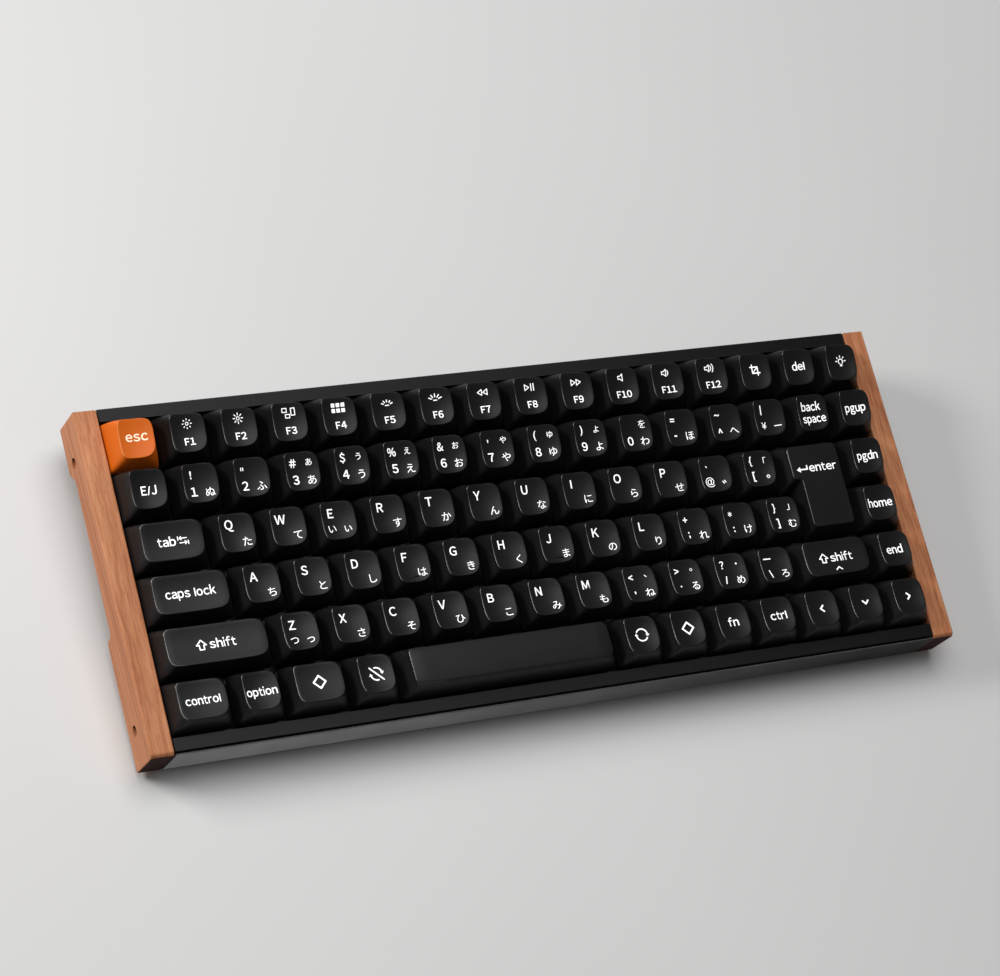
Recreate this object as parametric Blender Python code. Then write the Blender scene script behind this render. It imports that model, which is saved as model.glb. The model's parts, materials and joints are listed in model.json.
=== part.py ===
"""A 75% mechanical keyboard with a Japanese layout: aluminium top frame, wooden sides, plastic case.

Everything is modelled in the plate's own frame: X to the right, Y to the back, Z up from the frame's
top face, with Y = 0 at the front edge of the key field. The empty plate_frame tips that frame by the
typing angle and stands it on the desk, so the world origin is on the desk under the middle.
"""

import math

import bmesh
import bpy
from mathutils import Vector

MM = 0.001
GAP = 0.3 * MM  # clearance between two pieces that rest on each other

# Key field
PITCH = 19.05 * MM
UNITS_ACROSS = 16
ROWS_DEEP = 6
FIELD_X = UNITS_ACROSS * PITCH / 2
FIELD_Y = ROWS_DEEP * PITCH
TRAVEL = 3.8 * MM

# Case and stance
TYPING_ANGLE = math.radians(5.0)
DESK_GAP = 1.5 * MM  # from the desk to the flat base of the case
FRONT_Y = -6.4 * MM
BACK_Y = FIELD_Y + 5.0 * MM
CASE_X = FIELD_X - 0.5 * MM
FRONT_DEPTH = 17.3 * MM  # from the top face to the base, under the front edge
WALL = 2.5 * MM
SIDE_WALL = 1.9 * MM
BASE_THICK = 2.2 * MM
SIDE_WALL_TOP = -7.8 * MM

# Top frame
BAR_THICK = 2.9 * MM
BAR_FRONT_Y = -5.15 * MM
WEB_THICK = 2.0 * MM
WEB_BOTTOM = -7.5 * MM
KEY_CLEARANCE = 0.35 * MM

# Plate stack, heights from the frame's top face
PLATE_TOP = -6.0 * MM
PLATE_THICK = 1.5 * MM
PLATE_X = FIELD_X - 1.8 * MM
BOARD_TOP = -11.0 * MM
BOARD_THICK = 1.6 * MM
BOARD_X = CASE_X - SIDE_WALL - 0.4 * MM
CUTOUT = 14.2 * MM

# Wooden sides
WOOD_THICK = 8.7 * MM
WOOD_X = FIELD_X - 0.1 * MM  # inner face
WOOD_TOP = 0.3 * MM
WOOD_FOOT = -17.0 * MM
WOOD_ARCH = -12.4 * MM
SCREW_Z = -9.6 * MM
SCREW_Y = (6.5 * MM, 104.0 * MM)
COUNTERBORE = 3.7 * MM  # depth
COUNTERBORE_RADIUS = 1.95 * MM
SHANK_RADIUS = 1.0 * MM
SHANK_HOLE = 1.35 * MM  # radius of the holes that the shanks pass through

# Keycaps: skirt 18.1 mm square on a 1u key, a smaller top leaning with its row
CAP_GAP = 0.95 * MM
SKIRT_Z = -1.9 * MM
SKIRT_CHAMFER = 0.8 * MM
TOP_INSET_X = 2.6 * MM
TOP_INSET_Y = 2.1 * MM
TOP_CHAMFER = 1.7 * MM
SKIRT_WALL = 1.3 * MM
TOP_WALL = 1.4 * MM
DISH = 0.7 * MM
SPACE_DISH = -0.3 * MM
# From the enter key's skirt to its top: left, notch, right, front, step, back
ENTER_INSETS = (3.1 * MM, 1.8 * MM, -3.1 * MM, 2.9 * MM, 3.0 * MM, -2.2 * MM)
STEM = 4.6 * MM
STEM_BOTTOM = -2.6 * MM

# Row by row from the back: (height of the top at its middle, lean towards the typist, shift of the top)
ROW_SHAPES = (
    (8.2 * MM, math.radians(9.0), -0.2 * MM),
    (8.5 * MM, math.radians(9.0), 0.0),
    (7.0 * MM, math.radians(5.5), 0.05 * MM),
    (6.3 * MM, math.radians(2.5), 0.2 * MM),
    (6.8 * MM, math.radians(-1.5), 0.35 * MM),
    (6.6 * MM, math.radians(-1.5), 0.55 * MM),
)

# Widths in key units, from left to right; a plain name is 1 unit wide and None leaves 1.25 units
# for the lower half of the enter key, which hangs down from the row behind.
KEY_ROWS = (
    "esc f1 f2 f3 f4 f5 f6 f7 f8 f9 f10 f11 f12 capture delete light".split(),
    "language 1 2 3 4 5 6 7 8 9 0 minus caret yen backspace page_up".split(),
    [("tab", 1.5), *"q w e r t y u i o p at bracket_open".split(), ("enter", 1.5), "page_down"],
    [("caps_lock", 1.75), *"a s d f g h j k l semicolon colon bracket_close".split(), (None, 1.25), "home"],
    [("shift_left", 2.25), *"z x c v b n m comma period slash backslash".split(), ("shift_right", 1.75)]
    + ["end"],
    [
        ("control_left", 1.25),
        "option",
        ("command_left", 1.25),
        "convert_off",
        ("space", 4.5),
        "convert_on",
        "command_right",
        "fn",
        "control_right",
        "arrow_left",
        "arrow_down",
        "arrow_right",
    ],
)

# The character keys move in banks; every other key is its own node.
BANKS = {
    "function_keys_1_to_4": "f1 f2 f3 f4".split(),
    "function_keys_5_to_8": "f5 f6 f7 f8".split(),
    "function_keys_9_to_12": "f9 f10 f11 f12".split(),
    "number_keys_left": "1 2 3 4 5 6".split(),
    "number_keys_right": "7 8 9 0 minus caret yen".split(),
    "upper_letters_left": "q w e r t y".split(),
    "upper_letters_right": "u i o p at bracket_open".split(),
    "home_letters_left": "a s d f g h".split(),
    "home_letters_right": "j k l semicolon colon bracket_close".split(),
    "lower_letters_left": "z x c v b n".split(),
    "lower_letters_right": "m comma period slash backslash".split(),
}

# Back panel, seen from the front: places along X, all at one height
PORT_Z = -17.0 * MM
USB_X = -126.0 * MM
USB_HALF_TALL = 1.6 * MM
CONNECTION_X = -104.0 * MM
CONNECTION_STEP = 2.5 * MM  # travel to either side of the middle place
SYSTEM_X = -82.0 * MM
SYSTEM_STEP = 1.5 * MM  # half the travel between the two places
BUTTON_HALF = 1.9 * MM

# Feet
FOOT_X = (84.0 * MM, 120.0 * MM)
FOOT_AXIS_Y = 110.0 * MM
FOOT_LENGTH = 15.0 * MM
FOOT_THICK = 3.2 * MM
FOOT_AXIS_RISE = 2.2 * MM  # of the hinge axis above the base
PIN_RADIUS = 1.0 * MM
PIN_LENGTH = 1.4 * MM
FRONT_PAD = (116.0 * MM, 147.0 * MM, 1.5 * MM, 8.5 * MM)
REAR_PAD = (127.0 * MM, 147.0 * MM, 103.0 * MM, 112.0 * MM)
PAD_SEAT = 0.8 * MM

ANODISED = ("anodised_aluminium", (0.055, 0.057, 0.062), 0.38, 0.85)
PLASTIC = ("black_case_plastic", (0.03, 0.03, 0.032), 0.5, 0.0)
WOOD = ("rosewood", (0.62, 0.33, 0.20), 0.5, 0.0)
STEEL = ("black_steel", (0.12, 0.11, 0.11), 0.35, 0.9)
PLATE_STEEL = ("plate_aluminium", (0.28, 0.29, 0.31), 0.4, 0.9)
HOUSING = ("switch_nylon", (0.06, 0.06, 0.065), 0.45, 0.0)
BOARD = ("circuit_board_green", (0.02, 0.12, 0.06), 0.4, 0.0)
FOAM = ("case_foam_grey", (0.09, 0.09, 0.1), 0.95, 0.0)
CELL = ("battery_film", (0.35, 0.36, 0.38), 0.4, 0.3)
PORT_METAL = ("port_steel", (0.55, 0.56, 0.58), 0.3, 1.0)
RUBBER = ("black_rubber", (0.02, 0.02, 0.02), 0.9, 0.0)
KEY_DARK = ("keycap_charcoal", (0.07, 0.072, 0.078), 0.45, 0.0)
KEY_ORANGE = ("keycap_orange", (0.86, 0.36, 0.04), 0.45, 0.0)


def clear_scene():
    for obj in list(bpy.data.objects):
        bpy.data.objects.remove(obj, do_unlink=True)


def material(name, colour, roughness, metallic):
    found = bpy.data.materials.get(name)
    if found:
        return found
    made = bpy.data.materials.new(name)
    made.use_nodes = True
    shader = made.node_tree.nodes["Principled BSDF"]
    shader.inputs["Base Color"].default_value = (*colour, 1.0)
    shader.inputs["Roughness"].default_value = roughness
    shader.inputs["Metallic"].default_value = metallic
    return made


def base_z(y):
    """Height of the case's flat base at depth y; it is level with the desk."""
    return -FRONT_DEPTH - (y - FRONT_Y) * math.tan(TYPING_ANGLE)


def plate_frame():
    """The empty that tips the plate's frame and stands it on the desk, midway between front and back."""
    rise = DESK_GAP + FRONT_DEPTH * math.cos(TYPING_ANGLE) - FRONT_Y * math.sin(TYPING_ANGLE)
    front = FRONT_Y * math.cos(TYPING_ANGLE)
    back = BACK_Y * math.cos(TYPING_ANGLE) - base_z(BACK_Y) * math.sin(TYPING_ANGLE)
    empty = bpy.data.objects.new("plate_frame", None)
    empty.location = (0.0, -(front + back) / 2, rise)
    empty.rotation_euler = (TYPING_ANGLE, 0.0, 0.0)
    bpy.context.scene.collection.objects.link(empty)
    return empty


def add_object(name, mesh, frame, look=None, origin=(0.0, 0.0, 0.0)):
    """A node, or a cutter when it has no look; the mesh is moved so that its origin is at origin."""
    bmesh.ops.translate(mesh, verts=mesh.verts, vec=-Vector(origin))
    bmesh.ops.recalc_face_normals(mesh, faces=mesh.faces)
    data = bpy.data.meshes.new(name)
    mesh.to_mesh(data)
    mesh.free()
    obj = bpy.data.objects.new(name, data)
    bpy.context.scene.collection.objects.link(obj)
    obj.parent = frame
    obj.location = origin
    if look:
        data.materials.append(material(*look))
    else:
        obj.hide_render = True
        obj.display_type = "WIRE"
    return obj


def boolean(obj, other, operation):
    modifier = obj.modifiers.new(operation.lower() + "_" + other.name, "BOOLEAN")
    modifier.operation = operation
    modifier.object = other
    modifier.solver = "EXACT"


def bevel(obj, width, segments):
    modifier = obj.modifiers.new("bevel", "BEVEL")
    modifier.width = width
    modifier.segments = segments
    modifier.limit_method = "ANGLE"
    modifier.angle_limit = math.radians(35)


def smooth(obj):
    obj.data.shade_smooth()
    obj.data.set_sharp_from_angle(angle=math.radians(35))


def add_rings(mesh, rings, close_first=True, close_last=True):
    """Walls between equal rings of points, with a face over the first and the last ring."""
    made = [[mesh.verts.new(point) for point in ring] for ring in rings]
    count = len(made[0])
    for lower, upper in zip(made, made[1:]):
        for i in range(count):
            j = (i + 1) % count
            mesh.faces.new((lower[i], lower[j], upper[j], upper[i]))
    if close_first:
        mesh.faces.new(list(reversed(made[0])))
    if close_last:
        mesh.faces.new(made[-1])
    return made


def add_box(mesh, x_range, y_range, z_range):
    (x0, x1), (y0, y1), (z0, z1) = x_range, y_range, z_range
    corners = ((x0, y0), (x1, y0), (x1, y1), (x0, y1))
    add_rings(mesh, [[(x, y, z) for x, y in corners] for z in (z0, z1)])


def square_ring(x, y, half, z):
    return [(x + i * half, y + j * half, z) for i, j in ((-1, -1), (1, -1), (1, 1), (-1, 1))]


def box_mesh(*boxes):
    mesh = bmesh.new()
    for box in boxes:
        add_box(mesh, *box)
    return mesh


def add_prism(mesh, profile, x_range):
    """A (y, z) outline run along X."""
    add_rings(mesh, [[(x, y, z) for y, z in profile] for x in x_range])


def prism_mesh(profile, x_range):
    mesh = bmesh.new()
    add_prism(mesh, profile, x_range)
    return mesh


def add_turned(mesh, profile, centre, sides):
    """A turned piece on an axis along X; the profile gives (x, radius) from one end to the other."""
    rings = []
    for x, radius in profile:
        turns = [math.tau * i / sides for i in range(sides)]
        rings.append([(x, centre[0] + radius * math.cos(t), centre[1] + radius * math.sin(t)) for t in turns])
    add_rings(mesh, rings)


# ---- key field ----


def placed_keys():
    """Every key as name -> (left, right, row), in metres from the left edge of the field."""
    keys = {}
    for row, entries in enumerate(KEY_ROWS):
        left = 0.0
        for entry in entries:
            name, units = entry if isinstance(entry, tuple) else (entry, 1)
            if name:
                keys[name] = (left * PITCH - FIELD_X, (left + units) * PITCH - FIELD_X, row)
            left += units
    return keys


def row_middle(row):
    return FIELD_Y - (row + 0.5) * PITCH


def stem_place(name, left, right, row):
    """Middle of the switch under a key; the enter key's switch is between its two rows."""
    if name != "enter":
        return (left + right) / 2, row_middle(row)
    return (left + right) / 2 + PITCH / 8, row_middle(row) - PITCH / 2


def rectangle(left, right, front, back, chamfer):
    return (
        (left + chamfer, front),
        (right - chamfer, front),
        (right, front + chamfer),
        (right, back - chamfer),
        (right - chamfer, back),
        (left + chamfer, back),
        (left, back - chamfer),
        (left, front + chamfer),
    )


def top_height(row, y, middle):
    height, lean, _ = ROW_SHAPES[row]
    return height + (y - middle) * math.tan(lean)


def add_cup(mesh, skirt, top, skirt_inside, top_inside, height_at, wall, dish):
    """A hollow cap open at the bottom: outer wall, dished top, inner wall and the rim between them."""
    outer = [[(x, y, SKIRT_Z) for x, y in skirt], [(x, y, height_at(y)) for x, y in top]]
    inner = [
        [(x, y, SKIRT_Z) for x, y in skirt_inside],
        [(x, y, height_at(y) - wall) for x, y in top_inside],
    ]
    rings = add_rings(mesh, [inner[1], inner[0], *outer], close_last=False)
    rim = rings[-1]
    middle = sum((vert.co for vert in rim), Vector()) / len(rim)
    centre = mesh.verts.new((middle.x, middle.y, middle.z - dish))
    for i, vert in enumerate(rim):
        mesh.faces.new((vert, rim[(i + 1) % len(rim)], centre))


def add_plain_cap(mesh, left, right, row, dish):
    middle = row_middle(row)
    half = (PITCH - CAP_GAP) / 2
    left += CAP_GAP / 2
    right -= CAP_GAP / 2
    shift = ROW_SHAPES[row][2]
    top_half = half - TOP_INSET_Y
    top_front = middle + shift - top_half
    top_back = middle + shift + top_half
    top_left = left + TOP_INSET_X
    top_right = right - TOP_INSET_X
    add_cup(
        mesh,
        rectangle(left, right, middle - half, middle + half, SKIRT_CHAMFER),
        rectangle(top_left, top_right, top_front, top_back, TOP_CHAMFER),
        rectangle(
            left + SKIRT_WALL,
            right - SKIRT_WALL,
            middle - half + SKIRT_WALL,
            middle + half - SKIRT_WALL,
            SKIRT_CHAMFER,
        ),
        rectangle(
            top_left + TOP_WALL / 2,
            top_right - TOP_WALL / 2,
            top_front + TOP_WALL / 2,
            top_back - TOP_WALL / 2,
            SKIRT_CHAMFER,
        ),
        lambda y: top_height(row, y, middle),
        TOP_WALL,
        dish,
    )


def stepped(left, notch, right, front, step, back):
    """The enter key's outline: full width behind the step, narrower in front of it."""
    return ((notch, front), (right, front), (right, back), (left, back), (left, step), (notch, step))


def add_enter_cap(mesh, left, right, row):
    upper = row_middle(row)
    half = (PITCH - CAP_GAP) / 2
    left += CAP_GAP / 2
    right -= CAP_GAP / 2
    notch = left + PITCH / 4
    front = upper - PITCH - half
    step = upper - half
    back = upper + half
    skirt = (left, notch, right, front, step, back)
    top = tuple(edge + inset for edge, inset in zip(skirt, ENTER_INSETS))
    lean = math.tan(ROW_SHAPES[row + 1][1])
    middle = upper - PITCH / 2
    add_cup(
        mesh,
        stepped(*skirt),
        stepped(*top),
        stepped(*inside(skirt, SKIRT_WALL)),
        stepped(*inside(top, TOP_WALL / 2)),
        lambda y: ROW_SHAPES[row + 1][0] + (y - middle) * lean,
        TOP_WALL,
        0.0,
    )


def inside(outline, wall):
    left, notch, right, front, step, back = outline
    return left + wall, notch + wall, right - wall, front + wall, step + wall, back - wall


def stem_box(name, key, ceiling):
    x, y = stem_place(name, *key)
    half = STEM / 2
    return (x - half, x + half), (y - half, y + half), (STEM_BOTTOM, ceiling)


def tab_box(key):
    """The bridge across the gap on the right of a key, in the thickness of both skirts."""
    _, right, row = key
    reach = (CAP_GAP + SKIRT_WALL) / 2
    middle = row_middle(row)
    z_range = (SKIRT_Z + GAP, SKIRT_Z + 1.2 * MM)
    return (right - reach, right + reach), (middle - PITCH / 5, middle + PITCH / 5), z_range


def make_key_node(node, names, keys, frame):
    """One keycap, or a bank of keycaps bridged into one piece, with its stems."""
    caps = bmesh.new()
    stems = bmesh.new()
    tabs = bmesh.new()
    for name in names:
        left, right, row = keys[name]
        if name == "enter":
            add_enter_cap(caps, left, right, row)
        else:
            add_plain_cap(caps, left, right, row, SPACE_DISH if name == "space" else DISH)
        add_box(stems, *stem_box(name, keys[name], ROW_SHAPES[row][0] - DISH - TOP_WALL / 2))
    for name in names[:-1]:
        add_box(tabs, *tab_box(keys[name]))
    x, y = stem_place(names[0], *keys[names[0]])
    look = KEY_ORANGE if node == "esc" else KEY_DARK
    origin = (x, y, SKIRT_Z)
    obj = add_object(node, caps, frame, look, origin)
    boolean(obj, add_object(node + "_stems", stems, frame), "UNION")
    if len(names) > 1:
        boolean(obj, add_object(node + "_tabs", tabs, frame), "UNION")
    else:
        tabs.free()


def make_keys(frame):
    keys = placed_keys()
    banked = {name for names in BANKS.values() for name in names}
    for name in keys:
        if name not in banked:
            make_key_node("key_" + name, [name], keys, frame)
    for bank, names in BANKS.items():
        make_key_node(bank, names, keys, frame)


# ---- plate stack ----


def make_switch_plate(frame):
    depth = (GAP - KEY_CLEARANCE, FIELD_Y + KEY_CLEARANCE - GAP)
    slab = box_mesh(((-PLATE_X, PLATE_X), depth, (PLATE_TOP - PLATE_THICK, PLATE_TOP)))
    plate = add_object("switch_plate", slab, frame, PLATE_STEEL)
    holes = bmesh.new()
    through = (PLATE_TOP - 2 * PLATE_THICK, PLATE_TOP + PLATE_THICK)
    for name, key in placed_keys().items():
        x, y = stem_place(name, *key)
        half = CUTOUT / 2
        add_box(holes, (x - half, x + half), (y - half, y + half), through)
    boolean(plate, add_object("plate_cutouts", holes, frame), "DIFFERENCE")


def make_switch_housings(frame):
    """Towers with a well for the stem, joined by the foam sheet on the board that they stand in."""
    sheet_bottom, sheet_top = BOARD_TOP + GAP, BOARD_TOP + 1.1 * MM
    body, neck, mouth = 6.8 * MM, 4.7 * MM, 2.9 * MM
    shoulder, top, well = -4.0 * MM, 0.6 * MM, -7.5 * MM
    foot = (sheet_bottom + sheet_top) / 2
    profile = ((body, foot), (body, shoulder), (neck, top), (mouth, top), (mouth, well))
    towers = bmesh.new()
    for name, key in placed_keys().items():
        x, y = stem_place(name, *key)
        add_rings(towers, [square_ring(x, y, half, z) for half, z in profile])
    housings = add_object("switch_housings", towers, frame, HOUSING)
    sheet = box_mesh(((-BOARD_X, BOARD_X), (1.0 * MM, FIELD_Y - 1.0 * MM), (sheet_bottom, sheet_top)))
    boolean(housings, add_object("housing_sheet", sheet, frame), "UNION")


def make_circuit_board(frame):
    """The board with its controller, regulator and battery socket below, and the riser for the ports."""
    bottom = BOARD_TOP - BOARD_THICK
    board = add_object(
        "circuit_board",
        box_mesh(((-BOARD_X, BOARD_X), (0.5 * MM, FIELD_Y - 0.3 * MM), (bottom, BOARD_TOP))),
        frame,
        BOARD,
    )
    bite = 0.4 * MM
    riser_bottom = PORT_Z + USB_HALF_TALL + GAP
    chips = box_mesh(
        ((-5 * MM, 5 * MM), (48 * MM, 58 * MM), (bottom - 1.2 * MM, bottom + bite)),
        ((28 * MM, 34 * MM), (50 * MM, 56 * MM), (bottom - 1.0 * MM, bottom + bite)),
        ((70 * MM, 78 * MM), (84 * MM, 89 * MM), (bottom - 3.5 * MM, bottom + bite)),
        ((USB_X - 8 * MM, SYSTEM_X + 8 * MM), (107 * MM, 113.8 * MM), (riser_bottom, bottom + bite)),
    )
    boolean(board, add_object("board_chips", chips, frame), "UNION")


def sloped_slab(y0, y1, rise, thick):
    """Side outline of a slab that lies parallel to the base, rise above it."""
    z0, z1 = base_z(y0) + rise, base_z(y1) + rise
    return ((y0, z0), (y1, z1), (y1, z1 + thick), (y0, z0 + thick))


def make_foam_and_battery(frame):
    rise = BASE_THICK + GAP
    foam = prism_mesh(sloped_slab(2 * MM, 52 * MM, rise, 1.8 * MM), (-66 * MM, 66 * MM))
    add_object("case_foam", foam, frame, FOAM)
    cell = prism_mesh(sloped_slab(60 * MM, 96 * MM, rise, 5.6 * MM), (-56 * MM, 56 * MM))
    bevel(add_object("battery", cell, frame, CELL), 1.2 * MM, 2)


# ---- case ----


def make_top_frame(frame):
    """Front and back bars with the webs that hide the key skirts, tied by a thin strap on each side."""
    chamfer = 0.3 * MM
    field_front = -KEY_CLEARANCE
    field_back = FIELD_Y + KEY_CLEARANCE
    front = (
        (field_front, 0.0),
        (BAR_FRONT_Y + chamfer, 0.0),
        (BAR_FRONT_Y, -chamfer),
        (BAR_FRONT_Y, -BAR_THICK),
        (field_front - WEB_THICK, -BAR_THICK),
        (field_front - WEB_THICK, WEB_BOTTOM),
        (field_front, WEB_BOTTOM),
    )
    back_edge = BACK_Y + 0.1 * MM
    back = (
        (field_back, 0.0),
        (field_back, WEB_BOTTOM),
        (field_back + WEB_THICK, WEB_BOTTOM),
        (field_back + WEB_THICK, -BAR_THICK),
        (back_edge, -BAR_THICK),
        (back_edge, -chamfer),
        (back_edge - chamfer, 0.0),
    )
    ring = bmesh.new()
    add_prism(ring, front, (-CASE_X, CASE_X))
    add_prism(ring, back, (-CASE_X, CASE_X))
    top_frame = add_object("top_frame", ring, frame, ANODISED)
    depth = (field_front - WEB_THICK / 2, field_back + WEB_THICK / 2)
    strap = 0.95 * MM
    inner = CASE_X - strap
    heights = (WEB_BOTTOM + 0.1 * MM, PLATE_TOP - GAP)
    outer = CASE_X - GAP / 6
    straps = box_mesh(((-outer, -inner), depth, heights), ((inner, outer), depth, heights))
    boolean(top_frame, add_object("frame_straps", straps, frame), "UNION")


def case_outline():
    """Side outline of the case shell: thin lip behind the front groove, flat base, stepped top."""
    lip_back = -5.75 * MM
    chamfer = 1.0 * MM
    under_bar = -BAR_THICK - GAP
    front_wall_back = FRONT_Y + WALL
    return (
        (FRONT_Y + 0.2 * MM, -0.15 * MM),
        (FRONT_Y, -0.35 * MM),
        (FRONT_Y, base_z(FRONT_Y) + chamfer),
        (FRONT_Y + chamfer, base_z(FRONT_Y + chamfer)),
        (BACK_Y - chamfer, base_z(BACK_Y - chamfer)),
        (BACK_Y, base_z(BACK_Y) + chamfer),
        (BACK_Y, under_bar),
        (BACK_Y - WALL, under_bar),
        (BACK_Y - WALL, SIDE_WALL_TOP),
        (front_wall_back, SIDE_WALL_TOP),
        (front_wall_back, under_bar),
        (lip_back, under_bar),
        (lip_back, -0.15 * MM),
    )


def case_hollow():
    y0, y1 = FRONT_Y + WALL, BACK_Y - WALL
    rise = BASE_THICK
    return ((y0, base_z(y0) + rise), (y1, base_z(y1) + rise), (y1, PLATE_TOP), (y0, PLATE_TOP))


def foot_pocket(side):
    """The pocket that a folded foot lies in: its X range and its front and back."""
    x0, x1 = sorted(side * x for x in FOOT_X)
    y0 = FOOT_AXIS_Y - FOOT_LENGTH - 0.8 * MM
    y1 = FOOT_AXIS_Y + FOOT_THICK / 2 + 0.5 * MM
    return (x0 - 0.5 * MM, x1 + 0.5 * MM), y0, y1


def pad_range(pad, side, margin):
    x0, x1, y0, y1 = pad
    return sorted((side * (x0 - margin), side * (x1 + margin))), y0 - margin, y1 + margin


def make_case(frame):
    case = add_object("bottom_case", prism_mesh(case_outline(), (-CASE_X, CASE_X)), frame, PLASTIC)
    hollow_x = CASE_X - SIDE_WALL
    hollow = prism_mesh(case_hollow(), (-hollow_x, hollow_x))
    boolean(case, add_object("case_hollow", hollow, frame), "DIFFERENCE")

    inner = bmesh.new()
    for side in (-1, 1):
        x_range, y0, y1 = foot_pocket(side)
        wall = 2.2 * MM
        block = sloped_slab(y0 - wall, y1 + wall, BASE_THICK / 2, BASE_THICK / 2 + 3.6 * MM)
        add_prism(inner, block, (x_range[0] - wall, x_range[1] + wall))
    post = 3.0 * MM
    for x in (-142 * MM, -72 * MM, 72 * MM, 142 * MM):
        for y in (PITCH, 4 * PITCH):
            add_box(
                inner,
                (x - post, x + post),
                (y - post, y + post),
                (base_z(y) + BASE_THICK - 0.6 * MM, BOARD_TOP - BOARD_THICK - GAP),
            )
    boolean(case, add_object("case_posts", inner, frame), "UNION")

    cuts = bmesh.new()
    for side in (-1, 1):
        x_range, y0, y1 = foot_pocket(side)
        ceiling = FOOT_AXIS_RISE + FOOT_THICK / 2 + 0.4 * MM
        add_prism(cuts, sloped_slab(y0, y1, -2 * MM, 2 * MM + ceiling), x_range)
        for pad in (FRONT_PAD, REAR_PAD):
            x_pad, y0, y1 = pad_range(pad, side, GAP)
            add_prism(cuts, sloped_slab(y0, y1, -2 * MM, 2 * MM + PAD_SEAT), x_pad)
    boolean(case, add_object("case_underside_cuts", cuts, frame), "DIFFERENCE")

    holes = bmesh.new()
    axis = (FOOT_AXIS_Y, base_z(FOOT_AXIS_Y) + FOOT_AXIS_RISE)
    reach = PIN_LENGTH + GAP
    for side in (-1, 1):
        x_range, _, _ = foot_pocket(side)
        ends = (x_range[0] - reach, x_range[1] + reach)
        add_turned(holes, [(x, PIN_RADIUS + GAP) for x in ends], axis, 12)
        for y in SCREW_Y:
            wall_x = sorted((side * (CASE_X - 2 * SIDE_WALL), side * (CASE_X + SIDE_WALL)))
            add_turned(holes, [(x, SHANK_HOLE) for x in wall_x], (y, SCREW_Z), 16)
    boolean(case, add_object("case_bores", holes, frame), "DIFFERENCE")

    half_usb, half_tall = 4.9 * MM, 2.1 * MM
    through = (BACK_Y - 2 * WALL, BACK_Y + WALL)
    recess = (BACK_Y - 0.8 * MM, BACK_Y + WALL)
    slot_z = (PORT_Z - 1.4 * MM, PORT_Z + 1.4 * MM)
    connection_half = BUTTON_HALF + CONNECTION_STEP + 0.6 * MM
    system_half = BUTTON_HALF + SYSTEM_STEP + 0.6 * MM
    panel = box_mesh(((USB_X - 10 * MM, SYSTEM_X + 10 * MM), recess, (PORT_Z - 4.5 * MM, PORT_Z + 4.5 * MM)))
    boolean(case, add_object("port_panel_cut", panel, frame), "DIFFERENCE")
    ports = box_mesh(
        ((USB_X - half_usb, USB_X + half_usb), through, (PORT_Z - half_tall, PORT_Z + half_tall)),
        ((CONNECTION_X - connection_half, CONNECTION_X + connection_half), through, slot_z),
        ((SYSTEM_X - system_half, SYSTEM_X + system_half), through, slot_z),
    )
    boolean(case, add_object("port_cuts", ports, frame), "DIFFERENCE")


def wood_outline():
    """Side outline of a wooden side: chamfered front, two feet and a shallow arch between them."""
    back = BACK_Y
    front = FRONT_Y + 0.1 * MM
    bevel_run = 1.2 * MM
    arch_front, arch_back = 41.0 * MM, 98.0 * MM
    fillet = 1.6 * MM
    points = [
        (back, WOOD_TOP),
        (front + bevel_run, WOOD_TOP),
        (front, WOOD_TOP - bevel_run),
        (front, WOOD_FOOT),
        (arch_front - fillet, WOOD_FOOT),
    ]
    for step in range(1, 4):  # rounded shoulder up into the arch
        turn = math.radians(30 * step)
        across, up = fillet * math.sin(turn), fillet * (1 - math.cos(turn))
        points.append((arch_front - fillet + across, WOOD_FOOT + up))
    for step in range(4):
        turn = math.radians(30 * step)
        across, up = fillet * (1 - math.cos(turn)), fillet * math.sin(turn)
        points.append((arch_front + across, WOOD_ARCH - fillet + up))
    rear_foot = WOOD_FOOT + 0.4 * MM
    points += [(arch_back, WOOD_ARCH), (arch_back + 4.2 * MM, rear_foot), (back, rear_foot)]
    return points


def make_wood(side, frame):
    name = "wood_side_left" if side < 0 else "wood_side_right"
    outer = WOOD_X + WOOD_THICK
    x_range = sorted((side * WOOD_X, side * outer))
    wood = add_object(name, prism_mesh(wood_outline(), x_range), frame, WOOD)
    bevel(wood, 0.5 * MM, 2)
    bores = bmesh.new()
    for y in SCREW_Y:
        profile = ((WOOD_X - 2 * MM, SHANK_HOLE), (outer - COUNTERBORE, SHANK_HOLE))
        profile += ((outer - COUNTERBORE, COUNTERBORE_RADIUS), (outer + 2 * MM, COUNTERBORE_RADIUS))
        add_turned(bores, [(side * x, radius) for x, radius in profile], (y, SCREW_Z), 20)
    boolean(wood, add_object(name + "_bores", bores, frame), "DIFFERENCE")


def make_wood_screw(side, end, frame):
    """A pan-head screw in its counterbore, with a hexagon socket in the head."""
    name = "wood_screw_" + ("left" if side < 0 else "right") + ("_front" if end == 0 else "_back")
    head_seat = WOOD_X + WOOD_THICK - COUNTERBORE + GAP
    head_top = head_seat + 1.7 * MM
    head, socket, rounding = COUNTERBORE_RADIUS - GAP, 0.75 * MM, 0.4 * MM
    tip = CASE_X - SIDE_WALL + GAP
    profile = ((tip, SHANK_RADIUS - GAP), (tip + 0.5 * MM, SHANK_RADIUS), (head_seat, SHANK_RADIUS))
    profile += ((head_seat, head), (head_top - rounding, head), (head_top, head - rounding))
    profile += ((head_top, socket), (head_top - 1.1 * MM, socket))
    centre = (SCREW_Y[end], SCREW_Z)
    mesh = bmesh.new()
    add_turned(mesh, [(side * x, radius) for x, radius in profile], centre, 12)
    smooth(add_object(name, mesh, frame, STEEL, origin=(side * tip, *centre)))


# ---- ports and feet ----


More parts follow.
